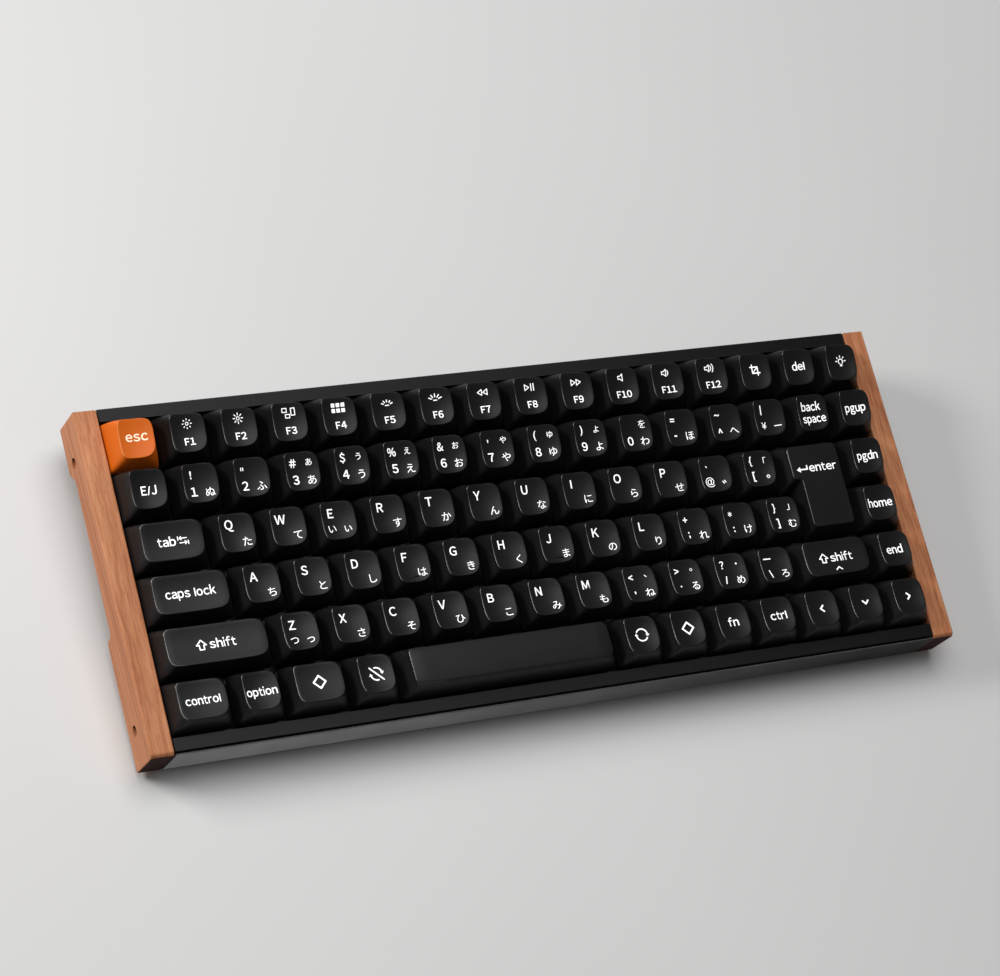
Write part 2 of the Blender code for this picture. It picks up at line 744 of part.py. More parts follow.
def make_usb_socket(frame):
    """A flat tube with chamfered corners and a tongue, under the board's riser."""
    half, tall, corner = 4.45 * MM, USB_HALF_TALL, 1.1 * MM
    outline = rectangle(USB_X - half, USB_X + half, PORT_Z - tall, PORT_Z + tall, corner)
    mouth = rectangle(
        USB_X - half + GAP, USB_X + half - GAP, PORT_Z - tall + GAP, PORT_Z + tall - GAP, corner
    )
    front, back = FIELD_Y - 4.5 * MM, BACK_Y - 0.6 * MM
    rings = (
        [(x, front, z) for x, z in outline],
        [(x, back, z) for x, z in outline],
        [(x, back, z) for x, z in mouth],
        [(x, front + 1.2 * MM, z) for x, z in mouth],
    )
    mesh = bmesh.new()
    add_rings(mesh, rings)
    socket = add_object("usb_c_socket", mesh, frame, PORT_METAL)
    tongue_x = (USB_X - 3.3 * MM, USB_X + 3.3 * MM)
    tongue = box_mesh((tongue_x, (front + 0.6 * MM, back - 0.9 * MM), (PORT_Z - GAP, PORT_Z + GAP)))
    boolean(socket, add_object("usb_tongue", tongue, frame), "UNION")


def make_slider(name, x, cover, frame):
    """A slide-switch actuator: a wide foot that covers the slot from inside, and the button in the slot."""
    inside_wall = BACK_Y - WALL - GAP
    half = BUTTON_HALF + cover
    foot_y = (inside_wall - 1.6 * MM, inside_wall)
    foot = box_mesh(((x - half, x + half), foot_y, (PORT_Z - 2 * MM, PORT_Z + 2 * MM)))
    slider = add_object(name, foot, frame, PLASTIC, origin=(x, inside_wall, PORT_Z))
    button_y = (inside_wall - 0.8 * MM, BACK_Y - 0.1 * MM)
    button = box_mesh(((x - BUTTON_HALF, x + BUTTON_HALF), button_y, (PORT_Z - 1 * MM, PORT_Z + 1 * MM)))
    boolean(slider, add_object(name + "_button", button, frame), "UNION")


def make_flip_foot(side, frame):
    """A foot folded forward into its pocket, with a round heel and a pin at each end of its hinge."""
    name = "flip_foot_left" if side < 0 else "flip_foot_right"
    axis_z = base_z(FOOT_AXIS_Y) + FOOT_AXIS_RISE
    half = FOOT_THICK / 2
    slope = math.tan(TYPING_ANGLE)
    outline = []
    for step in range(7):  # the heel, from under the axis round the back to above it
        turn = math.radians(-90 + 30 * step) - TYPING_ANGLE
        outline.append((FOOT_AXIS_Y + half * math.cos(turn), axis_z + half * math.sin(turn)))
    toe = FOOT_AXIS_Y - FOOT_LENGTH
    outline += [
        (toe + 1.0 * MM, axis_z + half + (FOOT_LENGTH - 1.0 * MM) * slope),
        (toe, axis_z + half - 1.0 * MM + FOOT_LENGTH * slope),
        (toe, axis_z - half + FOOT_LENGTH * slope),
    ]
    x0, x1 = sorted(side * x for x in FOOT_X)
    axis = (FOOT_AXIS_Y, axis_z)
    foot = add_object(name, prism_mesh(outline, (x0, x1)), frame, PLASTIC, origin=((x0 + x1) / 2, *axis))
    pins = bmesh.new()
    for start, end in ((x0 - PIN_LENGTH, x0 + 3 * MM), (x1 - 3 * MM, x1 + PIN_LENGTH)):
        add_turned(pins, [(start, PIN_RADIUS), (end, PIN_RADIUS)], axis, 12)
    boolean(foot, add_object(name + "_pins", pins, frame), "UNION")


def make_pad(name, pad, side, frame):
    """A rubber pad in its seat, flat on the desk."""
    x_range, y0, y1 = pad_range(pad, side, 0.0)
    drop = DESK_GAP / math.cos(TYPING_ANGLE)
    mesh = prism_mesh(sloped_slab(y0, y1, -drop, drop + PAD_SEAT - GAP), x_range)
    add_object(name, mesh, frame, RUBBER)


def main():
    clear_scene()
    frame = plate_frame()
    make_case(frame)
    make_top_frame(frame)
    for side in (-1, 1):
        make_wood(side, frame)
        for end in (0, 1):
            make_wood_screw(side, end, frame)
        hand = "left" if side < 0 else "right"
        make_pad("front_pad_" + hand, FRONT_PAD, side, frame)
        make_pad("rear_pad_" + hand, REAR_PAD, side, frame)
        make_flip_foot(side, frame)
    make_switch_plate(frame)
    make_switch_housings(frame)
    make_circuit_board(frame)
    make_foam_and_battery(frame)
    make_usb_socket(frame)
    make_slider("connection_slider", CONNECTION_X, 2 * CONNECTION_STEP + 1 * MM, frame)
    make_slider("system_slider", SYSTEM_X - SYSTEM_STEP, 2 * SYSTEM_STEP + 1 * MM, frame)
    make_keys(frame)


main()
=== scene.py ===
"""The looks of a compact mechanical keyboard with a Japanese layout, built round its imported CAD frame.

Pieces are modelled in the plate's own frame, in metres: X to the right, Y to the back with 0 at the front
edge of the key field, Z up from the top frame's face. PLATE carries them into the keyboard's frame.
"""

import functools
import json
import math

import bmesh
import bpy
from mathutils import Matrix, Vector


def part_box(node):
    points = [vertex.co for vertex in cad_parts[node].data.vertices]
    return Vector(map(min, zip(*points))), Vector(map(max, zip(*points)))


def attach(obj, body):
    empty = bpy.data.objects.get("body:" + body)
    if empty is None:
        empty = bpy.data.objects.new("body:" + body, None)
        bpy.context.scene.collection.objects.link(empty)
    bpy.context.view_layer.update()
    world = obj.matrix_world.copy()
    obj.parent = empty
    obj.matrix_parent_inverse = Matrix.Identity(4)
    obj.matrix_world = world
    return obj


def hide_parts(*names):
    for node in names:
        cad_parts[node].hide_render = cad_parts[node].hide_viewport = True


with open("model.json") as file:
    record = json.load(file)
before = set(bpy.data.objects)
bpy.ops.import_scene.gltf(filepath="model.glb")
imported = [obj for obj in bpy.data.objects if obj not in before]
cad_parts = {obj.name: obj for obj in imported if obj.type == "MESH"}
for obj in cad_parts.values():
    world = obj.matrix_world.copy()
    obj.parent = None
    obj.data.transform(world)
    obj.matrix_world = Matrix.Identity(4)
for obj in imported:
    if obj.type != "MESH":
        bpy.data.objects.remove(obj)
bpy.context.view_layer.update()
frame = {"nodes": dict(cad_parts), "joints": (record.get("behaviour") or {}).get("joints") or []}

MM = 0.001

# Key field, as in the CAD
PITCH = 19.05 * MM
FIELD_X = 8 * PITCH
FIELD_Y = 6 * PITCH
CAP_GAP = 0.95 * MM
SKIRT_Z = -1.9 * MM
PLATE_TOP = -6.0 * MM
PLATE_THICK = 1.5 * MM
PLATE_FRONT = -0.05 * MM

# Row by row from the back: (height of the top's rim, lean towards the typist, shift of the top)
ROW_SHAPES = (
    (8.2 * MM, math.radians(9.0), -0.2 * MM),
    (8.5 * MM, math.radians(9.0), 0.0),
    (7.0 * MM, math.radians(5.5), 0.05 * MM),
    (6.3 * MM, math.radians(2.5), 0.2 * MM),
    (6.8 * MM, math.radians(-1.5), 0.35 * MM),
    (6.6 * MM, math.radians(-1.5), 0.55 * MM),
)

# Widths in key units; None leaves room for the lower half of the enter key
KEY_ROWS = (
    "esc f1 f2 f3 f4 f5 f6 f7 f8 f9 f10 f11 f12 capture delete light".split(),
    "language 1 2 3 4 5 6 7 8 9 0 minus caret yen backspace page_up".split(),
    [("tab", 1.5), *"q w e r t y u i o p at bracket_open".split(), ("enter", 1.5), "page_down"],
    [("caps_lock", 1.75), *"a s d f g h j k l semicolon colon bracket_close".split(), (None, 1.25), "home"],
    [("shift_left", 2.25), *"z x c v b n m comma period slash backslash".split(), ("shift_right", 1.75)]
    + ["end"],
    [("control_left", 1.25), "option", ("command_left", 1.25), "convert_off", ("space", 4.5)]
    + "convert_on command_right fn control_right arrow_left arrow_down arrow_right".split(),
)

# The banks that the character keys move in
BANKS = {
    "function_keys_1_to_4": "f1 f2 f3 f4".split(),
    "function_keys_5_to_8": "f5 f6 f7 f8".split(),
    "function_keys_9_to_12": "f9 f10 f11 f12".split(),
    "number_keys_left": "1 2 3 4 5 6".split(),
    "number_keys_right": "7 8 9 0 minus caret yen".split(),
    "upper_letters_left": "q w e r t y".split(),
    "upper_letters_right": "u i o p at bracket_open".split(),
    "home_letters_left": "a s d f g h".split(),
    "home_letters_right": "j k l semicolon colon bracket_close".split(),
    "lower_letters_left": "z x c v b n".split(),
    "lower_letters_right": "m comma period slash backslash".split(),
}

# ---- the plate's frame ----


def plate_matrix():
    """From the plate's frame to the keyboard's. Keys travel square to the plate; its box gives its place."""
    travel = next(j for j in frame["joints"] if j["name"] == "key_space_press")["axis"]
    tilt = math.atan2(travel[1], -travel[2])
    low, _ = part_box("switch_plate")
    y = low.y - (PLATE_FRONT * math.cos(tilt) - PLATE_TOP * math.sin(tilt))
    z = low.z - (PLATE_FRONT * math.sin(tilt) + (PLATE_TOP - PLATE_THICK) * math.cos(tilt))
    return Matrix.Translation((0.0, y, z)) @ Matrix.Rotation(tilt, 4, "X")


PLATE = plate_matrix()

# ---- materials ----

WHITE = (1.0, 1.0, 1.0)


def new_look(name, colour, roughness, metallic=0.0, **sockets):
    """A Principled material; returns it with its node tree and shader."""
    look = bpy.data.materials.new(name)
    look.use_nodes = True
    shader = look.node_tree.nodes["Principled BSDF"]
    shader.inputs["Base Color"].default_value = (*colour, 1.0)
    shader.inputs["Roughness"].default_value = roughness
    shader.inputs["Metallic"].default_value = metallic
    for socket, value in sockets.items():
        shader.inputs[socket.replace("_", " ")].default_value = value
    return look, look.node_tree, shader


def add_node(tree, kind, links=(), **values):
    """A node with its inputs set by name, or linked from (output, input) pairs."""
    made = tree.nodes.new(kind)
    for key, value in values.items():
        if hasattr(made, key):
            setattr(made, key, value)
        else:
            made.inputs[key.replace("_", " ")].default_value = value
    for output, socket in links:
        tree.links.new(output, made.inputs[socket])
    return made


def object_coords(tree, stretch=(1.0, 1.0, 1.0)):
    """Object coordinates; a low stretch along an axis draws the texture out along it."""
    coords = add_node(tree, "ShaderNodeTexCoord")
    mapping = add_node(tree, "ShaderNodeMapping", [(coords.outputs["Object"], "Vector")])
    mapping.inputs["Scale"].default_value = stretch
    return mapping.outputs["Vector"]


def noise(tree, scale, detail=2.0, stretch=(1.0, 1.0, 1.0), distortion=0.0):
    """A noise of about scale features a metre, from 0 to 1."""
    made = add_node(
        tree, "ShaderNodeTexNoise", [(object_coords(tree, stretch), "Vector")],
        Scale=scale, Detail=detail, Distortion=distortion,
    )
    return made.outputs["Fac"]


def ramp(tree, fac, *stops):
    """A colour ramp of (place, colour) stops; a number stands for that grey."""
    made = add_node(tree, "ShaderNodeValToRGB", [(fac, "Fac")])
    elements = made.color_ramp.elements
    while len(elements) < len(stops):
        elements.new(0.5)
    for element, (place, colour) in zip(elements, stops):
        element.position = place
        element.color = (*colour, 1.0) if isinstance(colour, tuple) else (colour, colour, colour, 1.0)
    return made.outputs["Color"]


def mix(tree, fac, a, b, blend="MIX"):
    """Colour a changed towards b by fac; each can be a value or a node's output."""
    made = tree.nodes.new("ShaderNodeMix")
    made.data_type = "RGBA"
    made.blend_type = blend
    for value, socket in ((fac, made.inputs[0]), (a, made.inputs[6]), (b, made.inputs[7])):
        if isinstance(value, bpy.types.NodeSocket):
            tree.links.new(value, socket)
        else:
            socket.default_value = (*value, 1.0) if isinstance(value, tuple) else value
    return made.outputs[2]


def vary_roughness(tree, shader, fac, low, high):
    """Roughness that follows fac from low to high."""
    spread = add_node(tree, "ShaderNodeMapRange", [(fac, "Value")], To_Min=low, To_Max=high)
    tree.links.new(spread.outputs["Result"], shader.inputs["Roughness"])


def bump(tree, shader, *layers):
    """Bumps laid over each other, each (height, strength, distance in metres)."""
    normal = None
    for height, strength, distance in layers:
        made = add_node(tree, "ShaderNodeBump", [(height, "Height")], Strength=strength, Distance=distance)
        if normal:
            tree.links.new(normal, made.inputs["Normal"])
        normal = made.outputs["Normal"]
    tree.links.new(normal, shader.inputs["Normal"])


def moulded(name, colour, roughness, grain, depth, patch=0.12, **sockets):
    """Moulded plastic or rubber: fine even texture, faint patches of tone and of gloss."""
    look, tree, shader = new_look(name, colour, roughness, **sockets)
    patches = noise(tree, 60.0, 3.0)
    dark = tuple(c * (1.0 - patch) for c in colour)
    light = tuple(min(1.0, c * (1.0 + patch)) for c in colour)
    tree.links.new(ramp(tree, patches, (0.3, dark), (0.7, light)), shader.inputs["Base Color"])
    vary_roughness(tree, shader, noise(tree, 140.0, 2.0), roughness - 0.05, roughness + 0.05)
    bump(tree, shader, (noise(tree, grain, 2.0), 0.5, depth))
    return look


def anodised(name, colour, roughness):
    """Bead-blasted and anodised aluminium: metal with a fine sparkle and a dull skin."""
    look, tree, shader = new_look(name, colour, roughness, 0.85)
    beads = noise(tree, 5200.0, 2.0)
    cloud = noise(tree, 22.0, 3.0)
    dark = tuple(c * 0.86 for c in colour)
    light = tuple(c * 1.14 for c in colour)
    tint = ramp(tree, beads, (0.35, dark), (0.65, light))
    dulling = ramp(tree, cloud, (0.3, 0.6), (0.7, 1.0))
    tree.links.new(mix(tree, 0.35, tint, dulling, "MULTIPLY"), shader.inputs["Base Color"])
    vary_roughness(tree, shader, cloud, roughness - 0.04, roughness + 0.05)
    bump(tree, shader, (beads, 0.35, 0.03 * MM))
    return look


def wood_look():
    """Rosewood with the grain along Y: broad bands, long streaks, fine fibres, dark pores, a satin finish.

    The ends are cut across the grain and take up the oil, so they are darker; their near-black tone is also
    painted shade, on every face that looks along Y.
    """
    look, tree, shader = new_look("rosewood", (0.5, 0.2, 0.1), 0.5, Specular_IOR_Level=0.22)
    drift = noise(tree, 14.0, 2.0, (1.0, 0.25, 1.0))
    bands = noise(tree, 260.0, 4.0, (1.0, 0.022, 1.0), 0.25)
    streaks = noise(tree, 780.0, 3.0, (1.0, 0.012, 1.0), 0.15)
    fibres = noise(tree, 1900.0, 3.0, (1.0, 0.016, 1.0))
    pores = noise(tree, 2600.0, 2.0, (1.0, 0.045, 1.0))

    tone = ramp(tree, bands, (0.30, (0.45, 0.165, 0.070)), (0.45, (0.54, 0.215, 0.097)),
                (0.58, (0.59, 0.245, 0.115)), (0.72, (0.67, 0.300, 0.145)))
    drift_tint = ramp(tree, drift, (0.3, (0.90, 0.83, 0.80)), (0.7, WHITE))
    streak_tint = ramp(tree, streaks, (0.40, (0.74, 0.60, 0.52)), (0.50, WHITE), (0.60, WHITE),
                       (0.66, (1.12, 1.22, 1.28)))
    fibre_tint = ramp(tree, fibres, (0.35, 0.66), (0.65, 1.0))
    pore_tint = ramp(tree, pores, (0.30, (0.55, 0.38, 0.30)), (0.40, WHITE))
    for share, tint in ((0.4, drift_tint), (0.6, streak_tint), (0.5, fibre_tint), (0.5, pore_tint)):
        tone = mix(tree, share, tone, tint, "MULTIPLY")

    normal = tree.nodes["Texture Coordinate"].outputs["Normal"]
    facing = add_node(tree, "ShaderNodeSeparateXYZ", [(normal, "Vector")])
    end_grain = add_node(tree, "ShaderNodeMath", [(facing.outputs["Y"], 0)], operation="ABSOLUTE")
    # Faces that look along Y turn near black: partly darker end grain, partly painted shade.
    end_grain_and_painted_shade_mask = ramp(tree, end_grain.outputs["Value"], (0.75, 0.0), (0.95, 1.0))
    end_grain_and_painted_shade_tone = mix(tree, 1.0, tone, (0.045, 0.011, 0.005), "MULTIPLY")
    tree.links.new(mix(tree, end_grain_and_painted_shade_mask, tone, end_grain_and_painted_shade_tone), shader.inputs["Base Color"])

    satin = ramp(tree, fibres, (0.3, 0.0), (0.7, 0.35))
    vary_roughness(tree, shader, mix(tree, end_grain_and_painted_shade_mask, satin, WHITE), 0.46, 0.85)
    pits = ramp(tree, pores, (0.28, 0.0), (0.42, 1.0))
    bump(tree, shader, (pits, 0.5, 0.04 * MM), (fibres, 0.35, 0.03 * MM))
    return look


def board_look():
    """Green solder mask with finer copper tracks under it and pale pads."""
    look, tree, shader = new_look("circuit_board", (0.02, 0.09, 0.045), 0.28, Coat_Weight=0.3)
    tracks = add_node(
        tree, "ShaderNodeTexBrick", [(object_coords(tree), "Vector")],
        Scale=260.0, Mortar_Size=0.012, Mortar=(0.05, 0.2, 0.09, 1),
        Color1=(0.012, 0.075, 0.035, 1), Color2=(0.016, 0.095, 0.045, 1),
    )
    tree.links.new(tracks.outputs["Color"], shader.inputs["Base Color"])
    bump(tree, shader, (tracks.outputs["Fac"], 0.3, 0.03 * MM))
    return look


def foam_look():
    """Dark open-celled foam."""
    look, tree, shader = new_look("damping_foam", (0.09, 0.09, 0.10), 0.95)
    cells = add_node(tree, "ShaderNodeTexVoronoi", [(object_coords(tree), "Vector")], Scale=1400.0)
    tone = ramp(tree, cells.outputs["Distance"], (0.1, 0.03), (0.6, 0.12))
    tree.links.new(tone, shader.inputs["Base Color"])
    bump(tree, shader, (cells.outputs["Distance"], 0.8, 0.2 * MM))
    return look


def film_look():
    """Battery film: dull silver, shrunk tight with long creases."""
    look, tree, shader = new_look("battery_film", (0.42, 0.43, 0.45), 0.35, 0.6)
    creases = noise(tree, 120.0, 4.0, (0.3, 1.0, 1.0), 0.6)
    tree.links.new(ramp(tree, creases, (0.3, 0.34), (0.7, 0.5)), shader.inputs["Base Color"])
    bump(tree, shader, (creases, 0.4, 0.3 * MM))
    return look


CHARCOAL = (0.0085, 0.0085, 0.009)
ORANGE = (0.70, 0.135, 0.005)
# Painted highlight: a lighter orange for the orange cap's left rim.
LIT_ORANGE = (0.74, 0.19, 0.03)
# Scales of the moulded textures: a higher one is finer
FINE_GRAIN = 3800.0
CASE_GRAIN = 2600.0
SMALL_PART_GRAIN = 2400.0
RUBBER_GRAIN = 1900.0
NYLON_GRAIN = 1200.0
STEM_GRAIN = 900.0


def make_looks():
    """Every material by its short name. The edge looks are the glossier rims of the caps; the orange one is
    also painted a lighter orange, a painted highlight.
    """
    return {
        "charcoal": moulded(
            "keycap_charcoal", CHARCOAL, 0.36, FINE_GRAIN, 0.03 * MM, Specular_IOR_Level=0.22,
        ),
        "charcoal_edge": moulded(
            "keycap_charcoal_edge", CHARCOAL, 0.24, FINE_GRAIN, 0.01 * MM, Specular_IOR_Level=0.8,
        ),
        "orange": moulded(
            "keycap_orange", ORANGE, 0.46, FINE_GRAIN, 0.03 * MM, 0.05, Specular_IOR_Level=0.3,
        ),
        # The orange cap's left rim is painted a lighter orange: a painted highlight.
        "orange_edge": moulded(
            "keycap_orange_edge_painted_highlight", LIT_ORANGE, 0.3, FINE_GRAIN, 0.01 * MM, 0.05, Specular_IOR_Level=0.5,
        ),
        # The legends glow faintly: painted light that keeps the print bright on shaded caps.
        "legend": moulded(
            "legend_white_painted_glow", (0.95, 0.95, 0.95), 0.42, FINE_GRAIN, 0.02 * MM, 0.02,
            Emission_Color=(*WHITE, 1.0), Emission_Strength=0.5,
        ),
        "legend_cream_painted_glow": moulded(
            "legend_cream_painted_glow", (0.95, 0.80, 0.60), 0.42, FINE_GRAIN, 0.02 * MM, 0.02,
            Emission_Color=(1.0, 0.82, 0.60, 1.0), Emission_Strength=0.35,
        ),
        "stem": moulded("stem_brown", (0.19, 0.075, 0.035), 0.38, STEM_GRAIN, 0.02 * MM),
        "frame": anodised("frame_aluminium", (0.018, 0.018, 0.019), 0.42),
        "case": moulded(
            "case_plastic", (0.035, 0.035, 0.0355), 0.5, CASE_GRAIN, 0.04 * MM, Specular_IOR_Level=0.03,
        ),
        "wood": wood_look(),
        "screw": anodised("screw_steel", (0.03, 0.03, 0.03), 0.36),
        "plate": anodised("plate_aluminium", (0.035, 0.035, 0.037), 0.42),
        "housing": moulded("switch_nylon", (0.05, 0.05, 0.055), 0.42, NYLON_GRAIN, 0.03 * MM),
        "board": board_look(),
        "foam": foam_look(),
        "film": film_look(),
        "port": anodised("port_steel", (0.60, 0.61, 0.63), 0.26),
        "rubber": moulded("pad_rubber", (0.022, 0.022, 0.024), 0.82, RUBBER_GRAIN, 0.08 * MM),
        "slider": moulded("slider_plastic", (0.030, 0.030, 0.032), 0.4, SMALL_PART_GRAIN, 0.03 * MM),
        "foot": moulded("foot_plastic", (0.034, 0.034, 0.037), 0.46, SMALL_PART_GRAIN, 0.05 * MM),
    }


LOOKS = make_looks()

# ---- pieces ----


def add_piece(name, mesh, looks, body, smooth_angle=40.0):
    """A finished piece from a bmesh in the plate's frame, riding on a CAD body."""
    bmesh.ops.recalc_face_normals(mesh, faces=mesh.faces)
    data = bpy.data.meshes.new(name)
    mesh.to_mesh(data)
    mesh.free()
    data.transform(PLATE)
    for look in looks:
        data.materials.append(LOOKS[look])
    data.shade_smooth()
    data.set_sharp_from_angle(angle=math.radians(smooth_angle))
    piece = bpy.data.objects.new(name, data)
    bpy.context.scene.collection.objects.link(piece)
    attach(piece, body)
    return piece


def add_rings(mesh, rings, close_last=True, look=0, edge=(), edge_span=()):
    """Walls between equal rings of points, with the first ring closed; returns the rings' vertices.

    Bands in edge take the third look where they pass the points of edge_span.
    """
    made = [[mesh.verts.new(point) for point in ring] for ring in rings]
    count = len(made[0])
    for band, (lower, upper) in enumerate(zip(made, made[1:])):
        for i in range(count):
            j = (i + 1) % count
            face = mesh.faces.new((lower[i], lower[j], upper[j], upper[i]))
            face.material_index = 2 if band in edge and i in edge_span else look
    mesh.faces.new(list(reversed(made[0]))).material_index = look
    if close_last:
        mesh.faces.new(made[-1]).material_index = look
    return made


def add_fan(mesh, ring, centre):
    """Triangles from a ring of vertices to its centre."""
    hub = mesh.verts.new(centre)
    for i, vert in enumerate(ring):
        mesh.faces.new((vert, ring[(i + 1) % len(ring)], hub))


# ---- keycaps ----

TOP_WALL = 1.3 * MM
SKIRT_WALL = 1.2 * MM
SKIRT_EASE = 0.12 * MM
HOLLOW_INSET = 1.2 * MM
HOLLOW_CUT = 0.15 * MM
LOWEST_CEILING = 4.5 * MM
RIM_RADIUS = 0.32 * MM
RIM_STEPS = 4
SIDE_STEPS = 9
# The pull towards the top grows with this power of the height, so the sides bow.
SIDE_POWER = 1.3
DISH_STEPS = 7
CAP_SMOOTH_ANGLE = 50.0

# How far the top lies inside the foot, at its sides and in front and behind
TOP_INSET = (2.6 * MM, 2.15 * MM)
DISH = 1.1 * MM
WIDE_DISH = 0.75 * MM
WIDE_FROM = 1.1 * PITCH
# How far corners lie inside the square's: where the dish meets the rim, on the top's outline, on the foot's
DISH_CUT = (0.85 * MM, 1.0 * MM)
BACK_CUT = (1.15 * MM, 1.2 * MM)
FRONT_CUT = (1.35 * MM, 1.35 * MM)
FOOT_CUT = 0.3 * MM
# The left corners take these shares of the cuts, which makes them squarer.
LEFT_BACK = 0.42
LEFT_FRONT = 0.62

# The space bar is crowned instead of dished, and its top lies further back.
SPACE_INSET = (3.4 * MM, 2.3 * MM)
SPACE_SHIFT = 0.9 * MM
SPACE_CROWN = 0.45 * MM
SPACE_BACK_CUT = (0.6 * MM, 0.35 * MM)
SPACE_FRONT_CUT = (0.7 * MM, 0.5 * MM)

# From foot to top, how far these lines of the enter key move: left, notch, right, front, step, back
ENTER_MOVES = (3.1 * MM, 1.8 * MM, -3.1 * MM, 2.9 * MM, 3.0 * MM, -2.2 * MM)
ENTER_FOOT_RADIUS = 0.8 * MM
ENTER_TOP_RADIUS = 2.0 * MM
ENTER_LEAST_RADIUS = 0.2 * MM
ENTER_HOLLOW_INSET = 1.0 * MM

STEM_RADIUS = 2.75 * MM
STEM_BOTTOM = -2.6 * MM
STEM_SIDES = 20
STEM_OVERLAP = 0.3 * MM

# Points round a plain cap's outline, and the steps that find their places along a quarter of it
RING_POINTS = 64
CURVE_STEPS = 160
# Points round each corner of the enter key's outline
CORNER_POINTS = 6
# The points where an outline runs along its left side. The enter key has two such stretches, each from the
# middle of a corner to the middle of the next.
LEFT_SPAN = range(3 * RING_POINTS // 8, 5 * RING_POINTS // 8)
ENTER_LEFT_SPAN = [
    corner * CORNER_POINTS + CORNER_POINTS // 2 + i for corner in (2, 4) for i in range(CORNER_POINTS)
]


def placed_keys():
    """Every key as name -> (left, right, row), in the plate's frame."""
    keys = {}
    for row, entries in enumerate(KEY_ROWS):
        left = 0.0
        for entry in entries:
            name, units = entry if isinstance(entry, tuple) else (entry, 1)
            if name:
                keys[name] = (left * PITCH - FIELD_X, (left + units) * PITCH - FIELD_X, row)
            left += units
    return keys


@functools.cache
def quarter_points(half_x, half_y, cut_x, cut_y):
    """A quarter of a bowed square from its X axis to its Y axis, in even lengths without the last point.

    Its corner lies cut_x and cut_y inside the square's.
    """
    power_x = math.log(0.5) / math.log(1.0 - cut_x / half_x)
    power_y = math.log(0.5) / math.log(1.0 - cut_y / half_y)
    points = []
    for i in range(CURVE_STEPS + 1):
        turn = math.pi / 2 * i / CURVE_STEPS
        x = half_x * max(0.0, math.cos(turn)) ** (2 / power_x)
        y = half_y * math.sin(turn) ** (2 / power_y)
        points.append((x, y))
    lengths = [0.0]
    for a, b in zip(points, points[1:]):
        lengths.append(lengths[-1] + math.dist(a, b))
    count = RING_POINTS // 4
    even = []
    spot = 0
    for i in range(count):
        want = lengths[-1] * i / count
        while lengths[spot + 1] < want:
            spot += 1
        part = (want - lengths[spot]) / (lengths[spot + 1] - lengths[spot])
        even.append(tuple(a + (b - a) * part for a, b in zip(points[spot], points[spot + 1])))
    return even


def squircle(half_x, half_y, back_cut, front_cut):
    """RING_POINTS points round a bowed square with its own corners, (cut_x, cut_y), behind and in front.

    The left corners are squarer, so the left edge runs nearly straight.
    """
    points = []
    for sign_x, sign_y in ((1, 1), (-1, 1), (-1, -1), (1, -1)):
        cut, squarer = (back_cut, LEFT_BACK) if sign_y > 0 else (front_cut, LEFT_FRONT)
        share = squarer if sign_x < 0 else 1.0
        arc = quarter_points(half_x, half_y, cut[0] * share, cut[1] * share)
        if sign_x != sign_y:
            arc = list(reversed(arc[1:] + [(0.0, half_y)]))
        points += [(sign_x * x, sign_y * y) for x, y in arc]
    return points


class Cap:
    """Sizes of one keycap: the middle of its foot, its half sizes, and the surface of its top."""

    def __init__(self, name, left, right, row):
        self.name = name
        self.row = row
        self.x = (left + right) / 2
        self.y = FIELD_Y - (row + 0.5) * PITCH
        self.foot_x = (right - left - CAP_GAP) / 2
        self.foot_y = (PITCH - CAP_GAP) / 2
        self.height, self.lean, self.shift = ROW_SHAPES[row]
        self.dish = DISH if right - left < WIDE_FROM else WIDE_DISH
        self.dish_cut = DISH_CUT
        self.back_cut = BACK_CUT
        self.front_cut = FRONT_CUT
        inset_x, inset_y = TOP_INSET
        if name == "space":
            inset_x, inset_y = SPACE_INSET
            self.shift = SPACE_SHIFT
            self.dish = -SPACE_CROWN
            self.dish_cut = self.back_cut = SPACE_BACK_CUT
            self.front_cut = SPACE_FRONT_CUT
        self.top_x = self.foot_x - inset_x
        self.top_y = self.foot_y - inset_y

    def surface(self, x, y):
        """Height of the top at (x, y) from the foot's middle."""
        across = 1.0 if self.name == "space" else x / (self.top_x - self.dish_cut[0])
        along = (y - self.shift) / (self.top_y - self.dish_cut[1])
        return self.height + y * math.tan(self.lean) - self.dish * (1.0 - (across**2 + along**2) / 2)

    def ring(self, part, inset=0.0, cut=None):
        """Outline at part of the way from the foot (0) to the top's rim (1), pulled in by inset.

        cut, where given, rounds all four corners alike.
        """
        bow = part**SIDE_POWER
        half_x = self.foot_x + (self.top_x - self.foot_x) * bow - inset
        half_y = self.foot_y + (self.top_y - self.foot_y) * bow - inset
        if cut:
            cuts = ((cut, cut), (cut, cut))
        else:
            cuts = [
                tuple(FOOT_CUT + (top - FOOT_CUT) * part for top in pair)
                for pair in (self.back_cut, self.front_cut)
            ]
        return [(x, y + self.shift * bow) for x, y in squircle(half_x, half_y, *cuts)]


def level(outline, z):
    """The outline's points at height z."""
    return [(x, y, z) for x, y in outline]


def draped(outline, surface, drop=0.0):
    """The outline's points at drop below the surface."""
    return [(x, y, surface(x, y) - drop) for x, y in outline]


def outer_rings(outline_at, surface, ease=0.0):
    """Rings up the sides of a cap and over the round of its rim; ease lifts the lowest one."""
    rings = []
    for step in range(SIDE_STEPS + 1):
        part = step / SIDE_STEPS
        lift = ease if step == 0 else 0.0
        rings.append([
            (x, y, SKIRT_Z + (surface(x, y) - RIM_RADIUS - SKIRT_Z) * part + lift)
            for x, y in outline_at(part)
        ])
    for step in range(1, RIM_STEPS + 1):
        turn = math.pi / 2 * step / RIM_STEPS
        outline = outline_at(1.0, RIM_RADIUS * (1 - math.cos(turn)))
        rings.append(draped(outline, surface, RIM_RADIUS * (1 - math.sin(turn))))
    return rings


